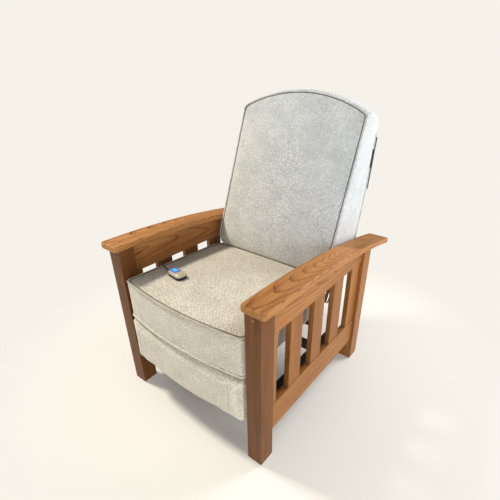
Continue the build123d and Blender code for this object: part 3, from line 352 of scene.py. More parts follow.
def linear(red, green, blue):
    """A colour from its 0 to 255 screen values."""
    levels = (red, green, blue)
    return tuple(((c / 255 + 0.055) / 1.055) ** 2.4 if c > 10 else c / 255 / 12.92 for c in levels)


wood_light = linear(186, 131, 75)
wood_mid = linear(154, 99, 51)
wood_dark = linear(102, 57, 25)
wood_pore = linear(74, 40, 18)


def wood(name, grain, pith=(0.0, 0.0, 0.0), tilt=0.0, ring=0.0055, shade=1.0, lines=0.4):
    """Stained cherry: growth rings about a pith along the grain, with fibres and pores."""
    n = Nodes(name)
    turns = {"X": (0, radians(90), 0), "Y": (radians(90), 0, 0), "Z": (0, 0, 0)}
    along = n.mapped(n.vector("SUBTRACT", n.position(), pith), turn=turns[grain])
    tilted = n.mapped(along, turn=(tilt, tilt * 0.6, 0))
    wander = n.noise(n.mapped(tilted, scale=(1, 1, 0.25)), 8.0, 2.0)
    sway = n.noise(n.mapped(tilted, place=(3, 1, 0), scale=(1, 1, 0.22)), 30.0, 2.0)
    radius = n.vector("LENGTH", n.vector("MULTIPLY", tilted, (1, 1, 0)))
    radius = n.math("ADD", radius, n.math("MULTIPLY", wander, 0.022))
    radius = n.math("ADD", radius, n.math("MULTIPLY", sway, 0.006))
    phase = n.math("FRACT", n.math("DIVIDE", radius, ring))
    late = n.math("POWER", phase, 6.0)
    fibre = n.noise(n.mapped(along, scale=(1, 1, 0.03)), 420.0, 4.0, 0.6)
    streak = n.noise(n.mapped(along, scale=(1, 1, 0.05)), 60.0, 3.0)
    pore = n.noise(n.mapped(along, place=(1, 2, 0), scale=(1, 1, 0.045)), 1400.0, 1.0)
    tone = n.math("MULTIPLY", late, lines)
    tone = n.math("ADD", tone, n.math("MULTIPLY", n.ramp(streak, 0.3, 0.7), 0.35))
    tone = n.math("ADD", tone, n.math("MULTIPLY", n.ramp(fibre, 0.3, 0.7), 0.22))
    # The shade scales the colours: partly the piece's own tone, partly painted light and shade for
    # how the lamps fall on it.
    tone_and_painted_shade = (shade, shade**1.2, shade**1.6)
    light, middle, dark, deep = (
        tuple(c * s for c, s in zip(colour, tone_and_painted_shade))
        for colour in (wood_light, wood_mid, wood_dark, wood_pore)
    )
    colour = n.mix(n.ramp(tone, 0.1, 0.55), light, middle)
    colour = n.mix(n.ramp(tone, 0.55, 1.0), colour, dark)
    colour = n.mix(n.ramp(pore, 0.60, 0.72, 0.0, 0.55), colour, deep)
    n.bump(n.math("ADD", fibre, n.math("MULTIPLY", pore, -0.8)), 0.00012, 0.5)
    rough = n.ramp(fibre, 0.2, 0.8, 0.36, 0.50)
    return n.set(Base_Color=colour, Roughness=rough, Specular_IOR_Level=0.22)


def weave(name, light, dark, tilt=0.0, pitch=0.0064, depth=0.0008, sheen=0.35, bounce_tint=None):
    """A basket weave on all sides. Where a tint is given, it tints the cloth low on the right, as
    painted light bounced from the seat.
    """
    n = Nodes(name)
    square = n.mapped(n.position(), turn=(tilt, 0, 0))
    slub = n.noise(n.mapped(square, scale=(1, 1, 3)), 130.0, 2.0)
    wobble = n.math("MULTIPLY", n.ramp(slub, 0.3, 0.7, -1.0, 1.0), 0.35)
    waves = n.vector("MULTIPLY", square, (2 * pi / pitch,) * 3)
    threads = n.vector("SINE", n.vector("ADD", waves, n.join(wobble, wobble, wobble)))
    x, y, z = n.split(threads)
    crossing = n.join(*(n.math("MULTIPLY", *pair) for pair in ((y, z), (x, z), (x, y))))
    facing = n.mapped(n.normal(), turn=(tilt, 0, 0))
    basket = n.vector("DOT_PRODUCT", crossing, n.vector("MULTIPLY", facing, facing))
    fleck = n.noise(square, 330.0, 2.0, 0.7)
    cloud = n.noise(square, 14.0, 3.0)
    tone = n.ramp(basket, -1.0, 1.0)
    for pattern, share in ((fleck, 0.45), (slub, 0.22), (cloud, 0.10)):
        tone = n.math("ADD", tone, n.math("MULTIPLY", n.ramp(pattern, 0.3, 0.7, -1.0, 1.0), share))
    colour = n.mix(n.ramp(tone, 0.0, 1.0), dark, light)
    # Painted light: the cloth is tinted warmer low and to the right, for light bounced up from the
    # seat.
    if bounce_tint:
        across, _, height = n.split(n.position())
        level = n.math("ADD", height, across)
        colour = n.mix(n.ramp(level, 0.3, 1.0), n.vector("MULTIPLY", colour, bounce_tint), colour)
    n.bump(n.math("ADD", basket, n.math("MULTIPLY", fleck, 0.8)), depth, 0.8)
    return n.set(Base_Color=colour, Roughness=0.92, Sheen_Weight=sheen, Specular_IOR_Level=0.2)


def plastic(name, colour, roughness=0.5, grain=0.0, glow=None):
    """Moulded plastic with a fine grain, and a lit face where it glows."""
    n = Nodes(name)
    speck = n.noise(n.position(), 2500.0, 2.0)
    tint = n.mix(n.ramp(speck, 0.3, 0.7, 0.0, 0.25), colour, tuple(c * 0.6 for c in colour))
    n.bump(speck, 0.00005 + grain, 0.4)
    n.set(Base_Color=tint, Roughness=roughness)
    if glow:
        n.set(Emission_Color=glow, Emission_Strength=0.35)
    return n.material


def metal(name, colour, roughness, metallic=1.0, brushed=0.0):
    """Metal or powder coat with a mottled gloss, brushed along X where asked."""
    n = Nodes(name)
    orange_peel = n.noise(n.mapped(n.position(), scale=(1 - brushed, 1, 1)), 900.0, 2.0)
    patch = n.noise(n.position(), 18.0, 3.0)
    tint = n.mix(n.ramp(patch, 0.35, 0.7, 0.0, 0.5), colour, tuple(c * 0.7 for c in colour))
    n.bump(orange_peel, 0.00004, 0.35)
    rough = n.ramp(patch, 0.3, 0.7, roughness - 0.06, roughness + 0.08)
    return n.set(Base_Color=tint, Roughness=rough, Metallic=metallic)


fabric_light = linear(239, 232, 214)
fabric_dark = linear(160, 149, 129)
# Painted light and shade: the back's cloth is the seat's cloth made cooler and darker, for the
# cool, weaker light on the upright back.
upright_light = linear(228, 230, 229)
upright_dark = linear(138, 141, 142)
seat_weave = weave("seat_weave", fabric_light, fabric_dark)
# Painted light: the tint for light bounced onto the back from the seat.
back_painted_bounce = (1.10, 1.03, 0.90)
back_weave = weave("back_weave", upright_light, upright_dark, tilt=back_tilt, bounce_tint=back_painted_bounce)
welt_weave = weave("welt_weave", linear(222, 212, 190), linear(160, 147, 126), pitch=0.003)
felt = weave("felt", linear(120, 118, 112), linear(80, 78, 74), pitch=0.002, depth=0.0003)
webbing = weave("webbing", linear(120, 108, 92), linear(60, 53, 45), pitch=0.003)
# Painted shade: a dark cloth for the cords that stand in for the shadow in the seams beside the
# welts.
seam_shadow_cloth = weave("seam_shadow_cloth", linear(112, 104, 90), linear(70, 64, 54), pitch=0.002)
dark_cloth = weave("dark_cloth", linear(62, 60, 66), linear(28, 27, 32), pitch=0.002)
black_steel = metal("black_steel", linear(40, 40, 42), 0.42, metallic=0.0)
plated_steel = metal("plated_steel", linear(190, 190, 188), 0.3, brushed=0.9)
aluminium = metal("aluminium", linear(180, 181, 184), 0.34, brushed=0.95)
black_plastic = plastic("black_plastic", linear(26, 26, 28), 0.45, grain=0.00004)
cord_rubber = plastic("cord_rubber", linear(24, 24, 26), 0.6)
champagne = metal("champagne", linear(224, 215, 182), 0.28, metallic=0.45)
keypad_grey = plastic("keypad_grey", linear(96, 92, 170), 0.35, glow=linear(60, 60, 190))
button_blue = plastic("button_blue", linear(70, 185, 250), 0.3, glow=linear(60, 190, 255))


def board_material():
    """Pale plywood with faint streaks."""
    n = Nodes("board")
    streak = n.noise(n.mapped(n.position(), scale=(0.1, 1, 1)), 160.0, 4.0)
    colour = n.mix(n.ramp(streak, 0.3, 0.7), linear(206, 178, 138), linear(170, 138, 98))
    n.bump(streak, 0.0001, 0.4)
    return n.set(Base_Color=colour, Roughness=0.75)


def dress(material, *names):
    """Give CAD nodes a material in place of their plain one."""
    for name in names:
        mesh = nodes[name].data
        if not mesh.materials:
            mesh.materials.append(material)
        for i in range(len(mesh.materials)):
            mesh.materials[i] = material


# Each piece's shade is partly its own tone and partly painted shade: the posts, lower rails, slats
# and stiles are darkened for how little light falls on their faces.
for side, hand in ((-1, "right"), (1, "left")):
    # Painted light: the far, right-hand pieces' wood is made paler and the near, left-hand pieces'
    # darker, for how the lamps fall on each side.
    lit = 0.1 * side
    woods = (
        ("arm", "arm", "Y", (0.33, 0.0, 0.58),
         {"tilt": -0.075, "ring": 0.0065, "shade": 1.03 - lit, "lines": 0.62}),
        ("rail", "upper_rail", "Y", (0.40, 0.0, 0.56),
         {"tilt": 0.05, "shade": 0.9 - lit, "lines": 0.6}),
        ("lower", "lower_rail", "Y", (0.38, 0.0, 0.10), {"tilt": 0.04, "shade": 0.69}),
        ("post", "post_front", "Z", (0.36, -0.30, 0.0),
         {"tilt": 0.012, "shade": 0.34, "lines": 0.15}),
        ("rear", "post_rear", "Z", (0.30, 0.36, 0.0), {"tilt": 0.03, "shade": 0.66}),
        ("slat", "slats", "Z", (0.36, 0.02, 0.0), {"tilt": 0.03, "shade": 0.60}),
    )
    for kind, piece_name, grain, (pith_x, pith_y, pith_z), look in woods:
        pith = (side * pith_x, pith_y, pith_z)
        dress(wood(f"{kind}_wood_{hand}", grain, pith, **look), f"{piece_name}_{hand}")
dress(wood("stile_wood", "Z", (0.31, 0.25, 0.0), tilt=0.03, shade=0.74), "end_stiles")
dress(wood("plug_wood", "X", (0.0, 0.1, 0.3), ring=0.004, shade=0.85), "wood_plugs")
dress(board_material(), "seat_boards", "back_stiles", "back_rails", "footrest_board")
dress(black_steel, "base_rails", "base_cross_rails", "uprights", "seat_rails", "stabiliser_tube",
      "back_brackets", "torque_bar", "lower_link_bars", "upper_link_bars", "footrest_brackets",
      "actuator_motor")
dress(plated_steel, "base_bolts", "pivot_pins", "knee_rivets", "footrest_rivets", "clevis_pin",
      "actuator_rod", "seat_springs")
dress(aluminium, "actuator_tube")
dress(black_plastic, "tube_bushes", "spring_clips", "actuator_gearbox", "control_box",
      "power_inlet", "handset_base", "strain_relief")
dress(champagne, "handset_shell")
dress(keypad_grey, "keypad_plate")
dress(button_blue, "button_recline", "button_return")
dress(felt, "deck_pad")
dress(webbing, "back_straps")


# Camera

def place_camera():
    """The photograph's camera, turned by its azimuth, elevation and roll."""
    camera = bpy.data.objects.new("camera", bpy.data.cameras.new("camera"))
    scene.collection.objects.link(camera)
    level = cos(camera_elevation)
    across, toward = sin(camera_azimuth) * level, -cos(camera_azimuth) * level
    back = Vector((across, toward, sin(camera_elevation)))
    right = (-back).cross(Vector((0, 0, 1))).normalized()
    up = back.cross(right)
    turned_right = right * cos(camera_roll) + up * sin(camera_roll)
    turned_up = up * cos(camera_roll) - right * sin(camera_roll)
    turn = Matrix((turned_right, turned_up, back)).transposed().to_4x4()
    camera.matrix_world = Matrix.Translation(camera_target + back * camera_distance) @ turn
    camera.data.sensor_width = camera_sensor
    camera.data.lens = camera_lens
    camera.data.shift_x, camera.data.shift_y = camera_shift
    scene.camera = camera


place_camera()


# Meshes and curves

def smooth(mesh):
    """Shade all faces of a mesh smooth."""
    for polygon in mesh.polygons:
        polygon.use_smooth = True


def add_object(name, mesh, material):
    """A new smooth mesh object with a material."""
    piece = bpy.data.objects.new(name, mesh)
    scene.collection.objects.link(piece)
    mesh.materials.clear()
    mesh.materials.append(material)
    smooth(mesh)
    return piece


def tube_mesh(name, kind, points, bevel):
    """A mesh along one open curve of points: a capped tube, or a bare line where bevel is 0."""
    curve = bpy.data.curves.new(name, "CURVE")
    curve.dimensions = "3D"
    curve.resolution_u = 8
    curve.bevel_depth = bevel
    curve.bevel_resolution = 3
    curve.use_fill_caps = True
    spline = curve.splines.new(kind)
    spline.points.add(len(points) - 1)
    for control, point in zip(spline.points, points):
        control.co = (*point, 1)
    if kind == "NURBS":
        spline.order_u = 3
        spline.use_endpoint_u = True
    return bpy.data.meshes.new_from_object(bpy.data.objects.new(name, curve))


# Handset lead

def make_cord():
    """The free lead from the handset's strain relief to the control box."""
    turn_x, turn_y, turn_z = (Matrix.Rotation(a, 4, axis) for a, axis in zip(handset_angles, "XYZ"))
    place = Matrix.Translation(handset_foot) @ turn_x @ turn_y @ turn_z
    tip = place @ Vector((-handset_length / 2 - relief_length, 0, relief_height))
    lead = place @ Vector((-handset_length / 2 - relief_length - cord_lead, 0, relief_height))
    points = [tip, lead] + [Vector((x, at(depth), z)) for x, depth, z in cord_route]
    path = [tuple(v.co) for v in tube_mesh("cord_route", "NURBS", points, 0).vertices]
    tube = tube_mesh("cord_route", "NURBS", points, cord_diameter / 2)
    cord = add_object("handset_lead", tube, cord_rubber)
    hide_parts("handset_cord")
    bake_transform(cord)


make_cord()


# Cloth

def remeshed(name, mesh, material):
    """A closed form as one even mesh of small faces."""
    piece = add_object(name, mesh, material)
    modifier = piece.modifiers.new("remesh", "REMESH")
    modifier.mode = "VOXEL"
    modifier.voxel_size = voxel
    bake(piece)
    return piece


def bake(piece):
    """Apply an object's modifiers to its mesh."""
    graph = bpy.context.evaluated_depsgraph_get()
    made = bpy.data.meshes.new_from_object(piece.evaluated_get(graph))
    piece.modifiers.clear()
    piece.data = made
    smooth(made)


def points_of(mesh):
    """A mesh's points, as rows of x, y and z."""
    values = np.zeros(len(mesh.vertices) * 3)
    mesh.vertices.foreach_get("co", values)
    return values.reshape(-1, 3)


def move_points(mesh, points):
    """Move a mesh's points to other rows of x, y and z."""
    mesh.vertices.foreach_set("co", points.ravel())


def inflate(piece, held, cap):
    """Swell a piece with cloth under pressure. Held points stay, and cap limits each one's move."""
    start = points_of(piece.data)
    faces = [tuple(p.vertices) for p in piece.data.polygons]
    skin = np.zeros(len(start), bool)
    for face in faces:
        if not held[list(face)].all():
            skin[list(face)] = True
    index = np.cumsum(skin) - 1
    outer = [tuple(int(index[v]) for v in face) for face in faces if skin[list(face)].all()]
    mesh = bpy.data.meshes.new("skin")
    mesh.from_pydata(start[skin].tolist(), [], outer)
    sheet = bpy.data.objects.new("skin", mesh)
    scene.collection.objects.link(sheet)
    group = sheet.vertex_groups.new(name="held")
    group.add([int(index[i]) for i in np.nonzero(held & skin)[0]], 1.0, "REPLACE")
    cloth = sheet.modifiers.new("swell", "CLOTH")
    cloth.settings.quality = 3
    cloth.settings.mass = 0.3
    cloth.settings.tension_stiffness = 12
    cloth.settings.compression_stiffness = 12
    cloth.settings.shear_stiffness = 4
    cloth.settings.bending_stiffness = 1.5
    cloth.settings.use_pressure = True
    cloth.settings.uniform_pressure_force = cloth_pressure
    cloth.settings.effector_weights.gravity = 0
    cloth.settings.vertex_group_mass = "held"
    cloth.point_cache.frame_start = 1
    cloth.point_cache.frame_end = cloth_frames
    for step in range(1, cloth_frames + 1):
        scene.frame_set(step)
    graph = bpy.context.evaluated_depsgraph_get()
    swollen = bpy.data.meshes.new_from_object(sheet.evaluated_get(graph))
    move = np.zeros_like(start)
    move[skin] = points_of(swollen) - start[skin]
    bpy.data.objects.remove(sheet)
    length = np.maximum(np.linalg.norm(move, axis=1), 1e-9)
    share = np.minimum(1.0, cap / length)
    move_points(piece.data, start + move * share[:, None])
    piece.data.update()
    scene.frame_set(1)


def finish_soft(piece):
    """One level of subdivision, baked into the mesh."""
    modifier = piece.modifiers.new("smooth", "SUBSURF")
    modifier.levels = 1
    modifier.render_levels = 1
    bake(piece)


def ring_mesh(name, rings):
    """A closed mesh through rings of points, capped at both ends."""
    count = len(rings[0])
    points = [p for ring in rings for p in ring]
    faces = [tuple(range(count))[::-1]]
    for k in range(len(rings) - 1):
        for i in range(count):
            j = (i + 1) % count
            low, high = k * count, (k + 1) * count
            faces.append((low + i, low + j, high + j, high + i))
    faces.append(tuple((len(rings) - 1) * count + i for i in range(count)))
    mesh = bpy.data.meshes.new(name)
    mesh.from_pydata([tuple(p) for p in points], [], faces)
    shape = bmesh.new()
    shape.from_mesh(mesh)
    bmesh.ops.recalc_face_normals(shape, faces=shape.faces)
    shape.to_mesh(mesh)
    shape.free()
    return mesh


def cut(mesh, *cutters):
    """A mesh with other closed meshes taken out of it."""
    piece = bpy.data.objects.new("cut", mesh)
    scene.collection.objects.link(piece)
    helpers = []
    for cutter in cutters:
        helper = bpy.data.objects.new("cutter", cutter)
        scene.collection.objects.link(helper)
        modifier = piece.modifiers.new("cut", "BOOLEAN")
        modifier.operation = "DIFFERENCE"
        modifier.solver = "EXACT"
        modifier.object = helper
        helpers.append(helper)
    graph = bpy.context.evaluated_depsgraph_get()
    made = bpy.data.meshes.new_from_object(piece.evaluated_get(graph))
    for helper in helpers + [piece]:
        bpy.data.objects.remove(helper)
    return made


def box_mesh(low, high):
    """A plain box between two corners, as a cutter."""
    ring = [(low[0], low[1]), (high[0], low[1]), (high[0], high[1]), (low[0], high[1])]
    return ring_mesh("box", [[(x, y, z) for x, y in ring] for z in (low[2], high[2])])


def arc_points(centre, radius, start, end, count):
    """Points on an arc, its angles in degrees."""
    angles = [radians(start + (end - start) * i / (count - 1)) for i in range(count)]
    return [(centre[0] + radius * cos(a), centre[1] + radius * sin(a)) for a in angles]


def bow_radius(half, bow):
    """The radius of an arc that spans twice half and rises by bow."""
    return (half**2 + bow**2) / (2 * bow)


def bowed_outline(half, front, bow, rear, corner, rear_corner=0.0):
    """A plan outline with a bowed front and round corners: (x, depth) from the rear right."""
    radius = bow_radius(half, bow)
    last = 24
    line = []
    for i in range(last + 1):
        x = -half + corner + (2 * half - 2 * corner) * i / last
        line.append((x, front + radius - bow - sqrt(radius**2 - x**2)))
    right_turn = arc_points((-half + corner, line[0][1] + corner), corner, 180, 262, 6)
    left_turn = arc_points((half - corner, line[-1][1] + corner), corner, 278, 360, 6)
    right_rear = [(-half, rear)]
    left_rear = [(half, rear)]
    if rear_corner:
        right_rear = arc_points((-half + rear_corner, rear - rear_corner), rear_corner, 90, 180, 8)
        left_rear = arc_points((half - rear_corner, rear - rear_corner), rear_corner, 0, 90, 8)
    return right_rear + right_turn + line[1:-1] + left_turn + left_rear


# Seat

def seat_outline(inset=0.0):
    """The seat's outline from above, drawn in by an inset at the front and sides."""
    half = seat_half_width - inset
    return bowed_outline(half, inset, seat_bow, seat_rear, seat_corner, seat_rear_corner)


def seat_edge(depth):
    """The height of the seat's edge, which falls toward the rear."""
    return seat_top - seat_fall * depth / seat_rear


def seat_rise(x, depth):
    """The height of the seat's crown over its welt."""
    across = max(0.0, 1 - (x / seat_half_width) ** 2)
    share = min(1.0, max(0.0, (depth + seat_bow) / crown_front)) ** 0.6
    fall = 1 - crown_loss * max(0.0, (depth - crown_full) / crown_tail)
    return seat_crown * across**0.8 * share * fall


def make_seat():
    """The upholstered seat: a crowned top, and borders that hang around the seat boards."""
    levels = (
        (seat_foot, seat_foot_inset),
        (seat_foot + seat_edge_height, 0.0),
        ((seat_foot + seat_top) / 2, 0.0),
        (seat_top - seat_edge_height, 0.0),
        (seat_top, seat_top_inset),
    )
    rings = []
    for z, inset in levels:
        rings.append([(x, at(depth), z) for x, depth in seat_outline(form_inset + inset)])
    inner_x = seat_half_width - border_thickness
    hollow = box_mesh(
        (-inner_x, at(border_thickness), cutter_low), (inner_x, at(cutter_rear), seat_deck)
    )
    rear_gap = box_mesh(
        (-cutter_side, at(seat_rear_edge), cutter_low),
        (cutter_side, at(cutter_rear), seat_deck - cutter_step),
    )
    form = cut(ring_mesh("seat_upholstery", rings), hollow, rear_gap)
    seat = remeshed("seat_upholstery", form, seat_weave)
    points = points_of(seat.data)
    x, height = points[:, 0], points[:, 2]
    depth = points[:, 1] - front_face
    top = height > seat_top - face_band
    share = np.clip((height - seat_deck) / (seat_top - seat_deck), 0, 1)
    height -= share * seat_fall * depth / seat_rear
    for i in np.nonzero(top)[0]:
        height[i] += seat_rise(x[i], depth[i])
    move_points(seat.data, points)
    inside = (np.abs(x) < inner_x + side_gap) & (depth > border_thickness - hold_gap)
    inside &= height < seat_deck + hold_gap
    low = height < seat_foot + edge_band
    radius = bow_radius(seat_half_width, seat_bow)
    front_line = radius - seat_bow - np.sqrt(radius**2 - x**2)
    from_edge = np.minimum(seat_half_width - np.abs(x), depth - front_line)
    from_top = np.abs(height - seat_edge(depth))
    seam = (from_top < seam_height) & (from_edge < seam_width)
    rear = depth > seat_rear - face_band
    cap = np.full(len(points), seat_swell)
    cap[np.abs(x) > seat_half_width - edge_band] = seat_side_swell
    border = height < seat_top - edge_band
    cap[border] = np.minimum(cap[border], seat_border_swell)
    inflate(seat, inside | low | seam | rear, cap)
    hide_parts("seat_cushion", "seat_borders")
    finish_soft(seat)
    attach(seat, "chair")


def welt_tube(name, line, material, radius):
    """A round cord in fabric along a line of points."""
    return add_object(name, tube_mesh(name, "POLY", line, radius), material)


def make_seat_welt():
    """The welt around the top of the seat, a dark cord along its stitched seam as painted shade
    there, and the rolled hem at the front.
    """
    line = [(x, at(depth), seat_edge(depth)) for x, depth in seat_outline(welt_inset)]
    welt = welt_tube("seat_welt_cord", line, welt_weave, welt_radius)
    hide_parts("seat_welt")
    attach(welt, "chair")
    # Painted shade: a dark cord along the stitched seam stands in for the shadow in the crevice
    # beside the welt.
    outline = seat_outline(stitch_inset)
    line = [(x, at(depth), seat_edge(depth) + seam_shadow_lift) for x, depth in outline]
    seam_shadow = welt_tube("seat_seam_shadow", line, seam_shadow_cloth, seam_shadow_radius)
    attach(seam_shadow, "chair")
    outline = seat_outline(hem_inset)
    line = [(x, at(depth), seat_foot + hem_rise) for x, depth in outline if depth < hem_end]
    hem = welt_tube("seat_hem", line, seat_weave, hem_radius)
    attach(hem, "chair")


# Back

arch_radius = bow_radius(back_half_width, back_rise)
arch_centre = back_shoulder + back_rise - arch_radius


def back_outline(lift=0.0, inset=0.0, foot=back_bottom, foot_round=back_foot_round):
    """The back's outline up its face: (x, rise) from the right foot round to the left."""
    half = back_half_width - inset
    radius = arch_radius + lift - inset
    corner = back_shoulder_round
    shoulder_x = half - corner
    last = 30
    arch = []
    for i in range(last + 1):
        x = -shoulder_x + 2 * shoulder_x * i / last
        arch.append((x, arch_centre + sqrt(radius**2 - x**2)))
    peak = arch_centre + sqrt(radius**2 - half**2)
    side_top = peak - corner
    left = []
    for t in (1.0, 0.75, 0.5, 0.25, 0.0):
        a, b, c = (1 - t) ** 2, 2 * t * (1 - t), t**2
        x = a * half + b * half + c * shoulder_x
        left.append((x, a * side_top + b * peak + c * arch[-1][1]))
    right = [(-x, rise) for x, rise in left[::-1]]
    right_foot = arc_points((-half + foot_round, foot + foot_round), foot_round, 270, 180, 9)
    left_foot = arc_points((half - foot_round, foot + foot_round), foot_round, 360, 270, 9)
    return right_foot + right + arch[1:-1] + left + left_foot


def rear_depth(rise, inset=0.0):
    """How far behind the face the back's rear line lies at a height."""
    (d0, h0), (d1, h1), (d2, h2) = back_rear_line
    first = d0 * (rise - h1) * (rise - h2) / ((h0 - h1) * (h0 - h2))
    second = d1 * (rise - h0) * (rise - h2) / ((h1 - h0) * (h1 - h2))
    third = d2 * (rise - h0) * (rise - h1) / ((h2 - h0) * (h2 - h1))
    return first + second + third - inset


def prism(profile, half):
    """A prism across the back from a profile of (depth, rise) points."""
    ends = (-half, half)
    rings = [[back_point(x, rise, depth) for depth, rise in profile] for x in ends]
    return ring_mesh("prism", rings)


def back_ring(depth, lift):
    """A ring of the back's form at a depth behind its face."""
    return [back_point(x, rise, depth) for x, rise in back_outline(lift, form_inset)]


def back_places(mesh):
    """A mesh's points in the row frame and by the back: x, rise, depth, and the arch over each."""
    points = points_of(mesh)
    offset = points - np.array(back_origin)
    rise = offset[:, 1] * sin(back_tilt) + offset[:, 2] * cos(back_tilt)
    depth = offset[:, 1] * cos(back_tilt) - offset[:, 2] * sin(back_tilt)
    x = points[:, 0]
    arch = arch_centre + np.sqrt(arch_radius**2 - np.clip(x, -arch_reach, arch_reach) ** 2)
    return points, x, rise, depth, arch


def pinch_back(back):
    """Draw the face in along its seam, so that it rises from there like a cushion."""
    points, x, rise, depth, arch = back_places(back.data)
    from_edge = np.minimum(back_half_width - np.abs(x), arch - rise)
    climb = np.clip((from_edge - stitch_inset) * pinch_slope, 0, 1)
    over = np.clip(-depth - pinch_foot - climb, 0, None)
    backward = np.array((0, cos(back_tilt), -sin(back_tilt)))
    points += backward * over[:, None]
    move_points(back.data, points)


def make_back():
    """The upholstered back: a crowned front, boxing around the frame, and a rounded top."""
    rings = [back_ring(depth, lift) for depth, lift in back_lifts]
    steps = 5
    for k in range(1, steps + 1):
        turn = back_round_turn * k / steps
        depth = back_depth - back_round + back_round * sin(turn)
        rings.append(back_ring(depth, back_top_lift - back_round * (1 - cos(turn))))
    rings.append(back_ring(back_reach, back_top_lift - back_round))
    form = ring_mesh("back_upholstery", rings)
    rear_heights = np.linspace(rear_line_foot, flap_foot, 10)[::-1]
    behind = prism([
        (cutter_far, cutter_foot), (cutter_far, cutter_top),
        (back_depth, cutter_top), (back_depth, flap_foot),
        *((rear_depth(h, panel_inset), h) for h in rear_heights),
        (foot_cut_depth, foot_cut_rise), (foot_cut_depth, cutter_foot),
    ], cutter_side)
    space_outline = back_outline(back_top_lift, back_wall, space_foot, space_foot_round)
    top_space = ring_mesh("space", [
        [back_point(x, rise, depth) for x, rise in space_outline]
        for depth in (back_foam, back_depth - back_flap)
    ])
    rear_space = prism([
        (back_foam, cutter_foot), (cutter_side, cutter_foot),
        (cutter_side, panel_top), (back_foam, panel_top),
    ], back_half_width - back_wall)
    form = cut(form, behind, top_space, rear_space)
    back = remeshed("back_upholstery", form, back_weave)
    points, x, rise, depth, arch = back_places(back.data)
    face = depth < face_band
    width = np.clip(1 - (x / back_half_width) ** 2, 0, 1)
    top_fade = np.clip((arch - rise) / bulge_top_fade, 0, 1)
    foot_fade = np.clip((rise - back_bottom) / bulge_foot_fade, 0, 1)
    swell = back_bulge * width**0.6 * top_fade**0.6 * foot_fade**0.5
    forward = np.array((0, -cos(back_tilt), sin(back_tilt)))
    points[face] += forward * swell[face, None]
    move_points(back.data, points)
    from_side = back_half_width - np.abs(x)
    from_edge = np.minimum(np.minimum(from_side, arch - rise), rise - back_bottom)
    seam = (np.abs(depth) < seam_height) & (from_edge < seam_width)
    inside = (depth > back_foam - hold_gap) & (from_side > back_wall - hold_gap)
    inside &= (depth < back_depth - back_flap + hold_gap) & (rise < arch + crest_gap)
    from_rear = np.abs(depth - rear_depth(rise, panel_inset))
    rear = (from_rear < rear_band) & (rise < flap_foot + cap_gap)
    low = (rise < back_bottom + foot_hold_rise) & (depth > foot_hold_depth)
    cap = np.full(len(points), back_swell)
    cap[from_side < edge_band] = back_side_swell
    inflate(back, seam | inside | rear | low, cap)
    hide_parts("back_cushion", "back_borders")
    finish_soft(back)
    pinch_back(back)
    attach(back, "back")


def make_back_welt():
    """The welt around the face of the back, and a dark cord along its stitched seam as painted
    shade there.
    """
    line = [back_point(x, rise, 0) for x, rise in back_outline(inset=welt_inset)]
    welt = welt_tube("back_welt_cord", line, back_weave, welt_radius)
    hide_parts("back_welt")
    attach(welt, "back")
    # Painted shade: a dark cord along the stitched seam stands in for the shadow in the crevice
    # beside the welt.
    line = [back_point(x, rise, -seam_shadow_lift) for x, rise in back_outline(inset=stitch_inset)]
    seam_shadow = welt_tube("back_seam_shadow", line, seam_shadow_cloth, seam_shadow_radius)
    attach(seam_shadow, "back")


def make_flaps():
    """The dark flaps that close the outer back along its sides, wider upward and then narrow."""
    for side, hand in ((-1, "right"), (1, "left")):
        inner = side * (back_half_width - flap_inset)
        outer = side * (back_half_width + flap_proud)
        rings = []
        for h in np.linspace(flap_end, flap_top, 24):
            share = (h - flap_end) / (flap_top - flap_end)
            part = min(1.0, share / flap_full) if share < flap_step else flap_tip
            near = rear_depth(h) - flap_width * part
            far = rear_depth(h) + flap_lap
            corners = ((inner, near), (outer, near), (outer, far), (inner, far))
            rings.append([back_point(x, h, depth) for x, depth in corners[::side]])
        mesh = ring_mesh("closing_flap", rings)
        flap = add_object(f"closing_flap_{hand}", mesh, dark_cloth)
        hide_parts("closing_strips")
        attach(flap, "back")


def make_outer_panel():
    """The rear panel in fabric over board, with soft edges."""
    rises = np.linspace(panel_foot, panel_top, 40)
    rings = []
    for x in np.linspace(-back_half_width, back_half_width, 45):
        edge = min(1.0, (back_half_width - abs(x)) / panel_edge)
        puff = panel_puff * sqrt(max(0.0, 1 - (x / back_half_width) ** 2))
        drop = panel_edge_drop * (1 - sqrt(max(0.0, 1 - (1 - edge) ** 2)))
        outer = []
        for h in rises:
            share = sin(pi * (h - panel_foot) / (panel_top - panel_foot)) ** 0.5
            outer.append(back_point(x, h, rear_depth(h) - drop + puff * share))
        inner = [back_point(x, h, rear_depth(h, panel_thickness)) for h in rises[::-1]]
        rings.append(outer + inner)
    panel = add_object("outer_back", ring_mesh("outer_back", rings), back_weave)
    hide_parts("back_outer_panel")
    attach(panel, "back")


# Footrest

def footrest_levels():
    """The pad's rings from foot to top, as (height, inset), with round edges at both ends."""
    last = 6
    levels = []
    for k in range(last + 1):
        turn = radians(90) * (1 - k / last)
        height = footrest_bottom + footrest_edge * (1 - sin(turn))
        levels.append((height, footrest_edge * (1 - cos(turn))))
    levels.append((footrest_bottom + footrest_foot_round, 0.0))
    levels.append(((footrest_bottom + footrest_top) / 2, 0.0))
    for k in range(last + 1):
        turn = radians(90) * k / last
        height = footrest_top - footrest_edge * (1 - sin(turn))
        levels.append((height, footrest_edge * (1 - cos(turn))))
    return levels


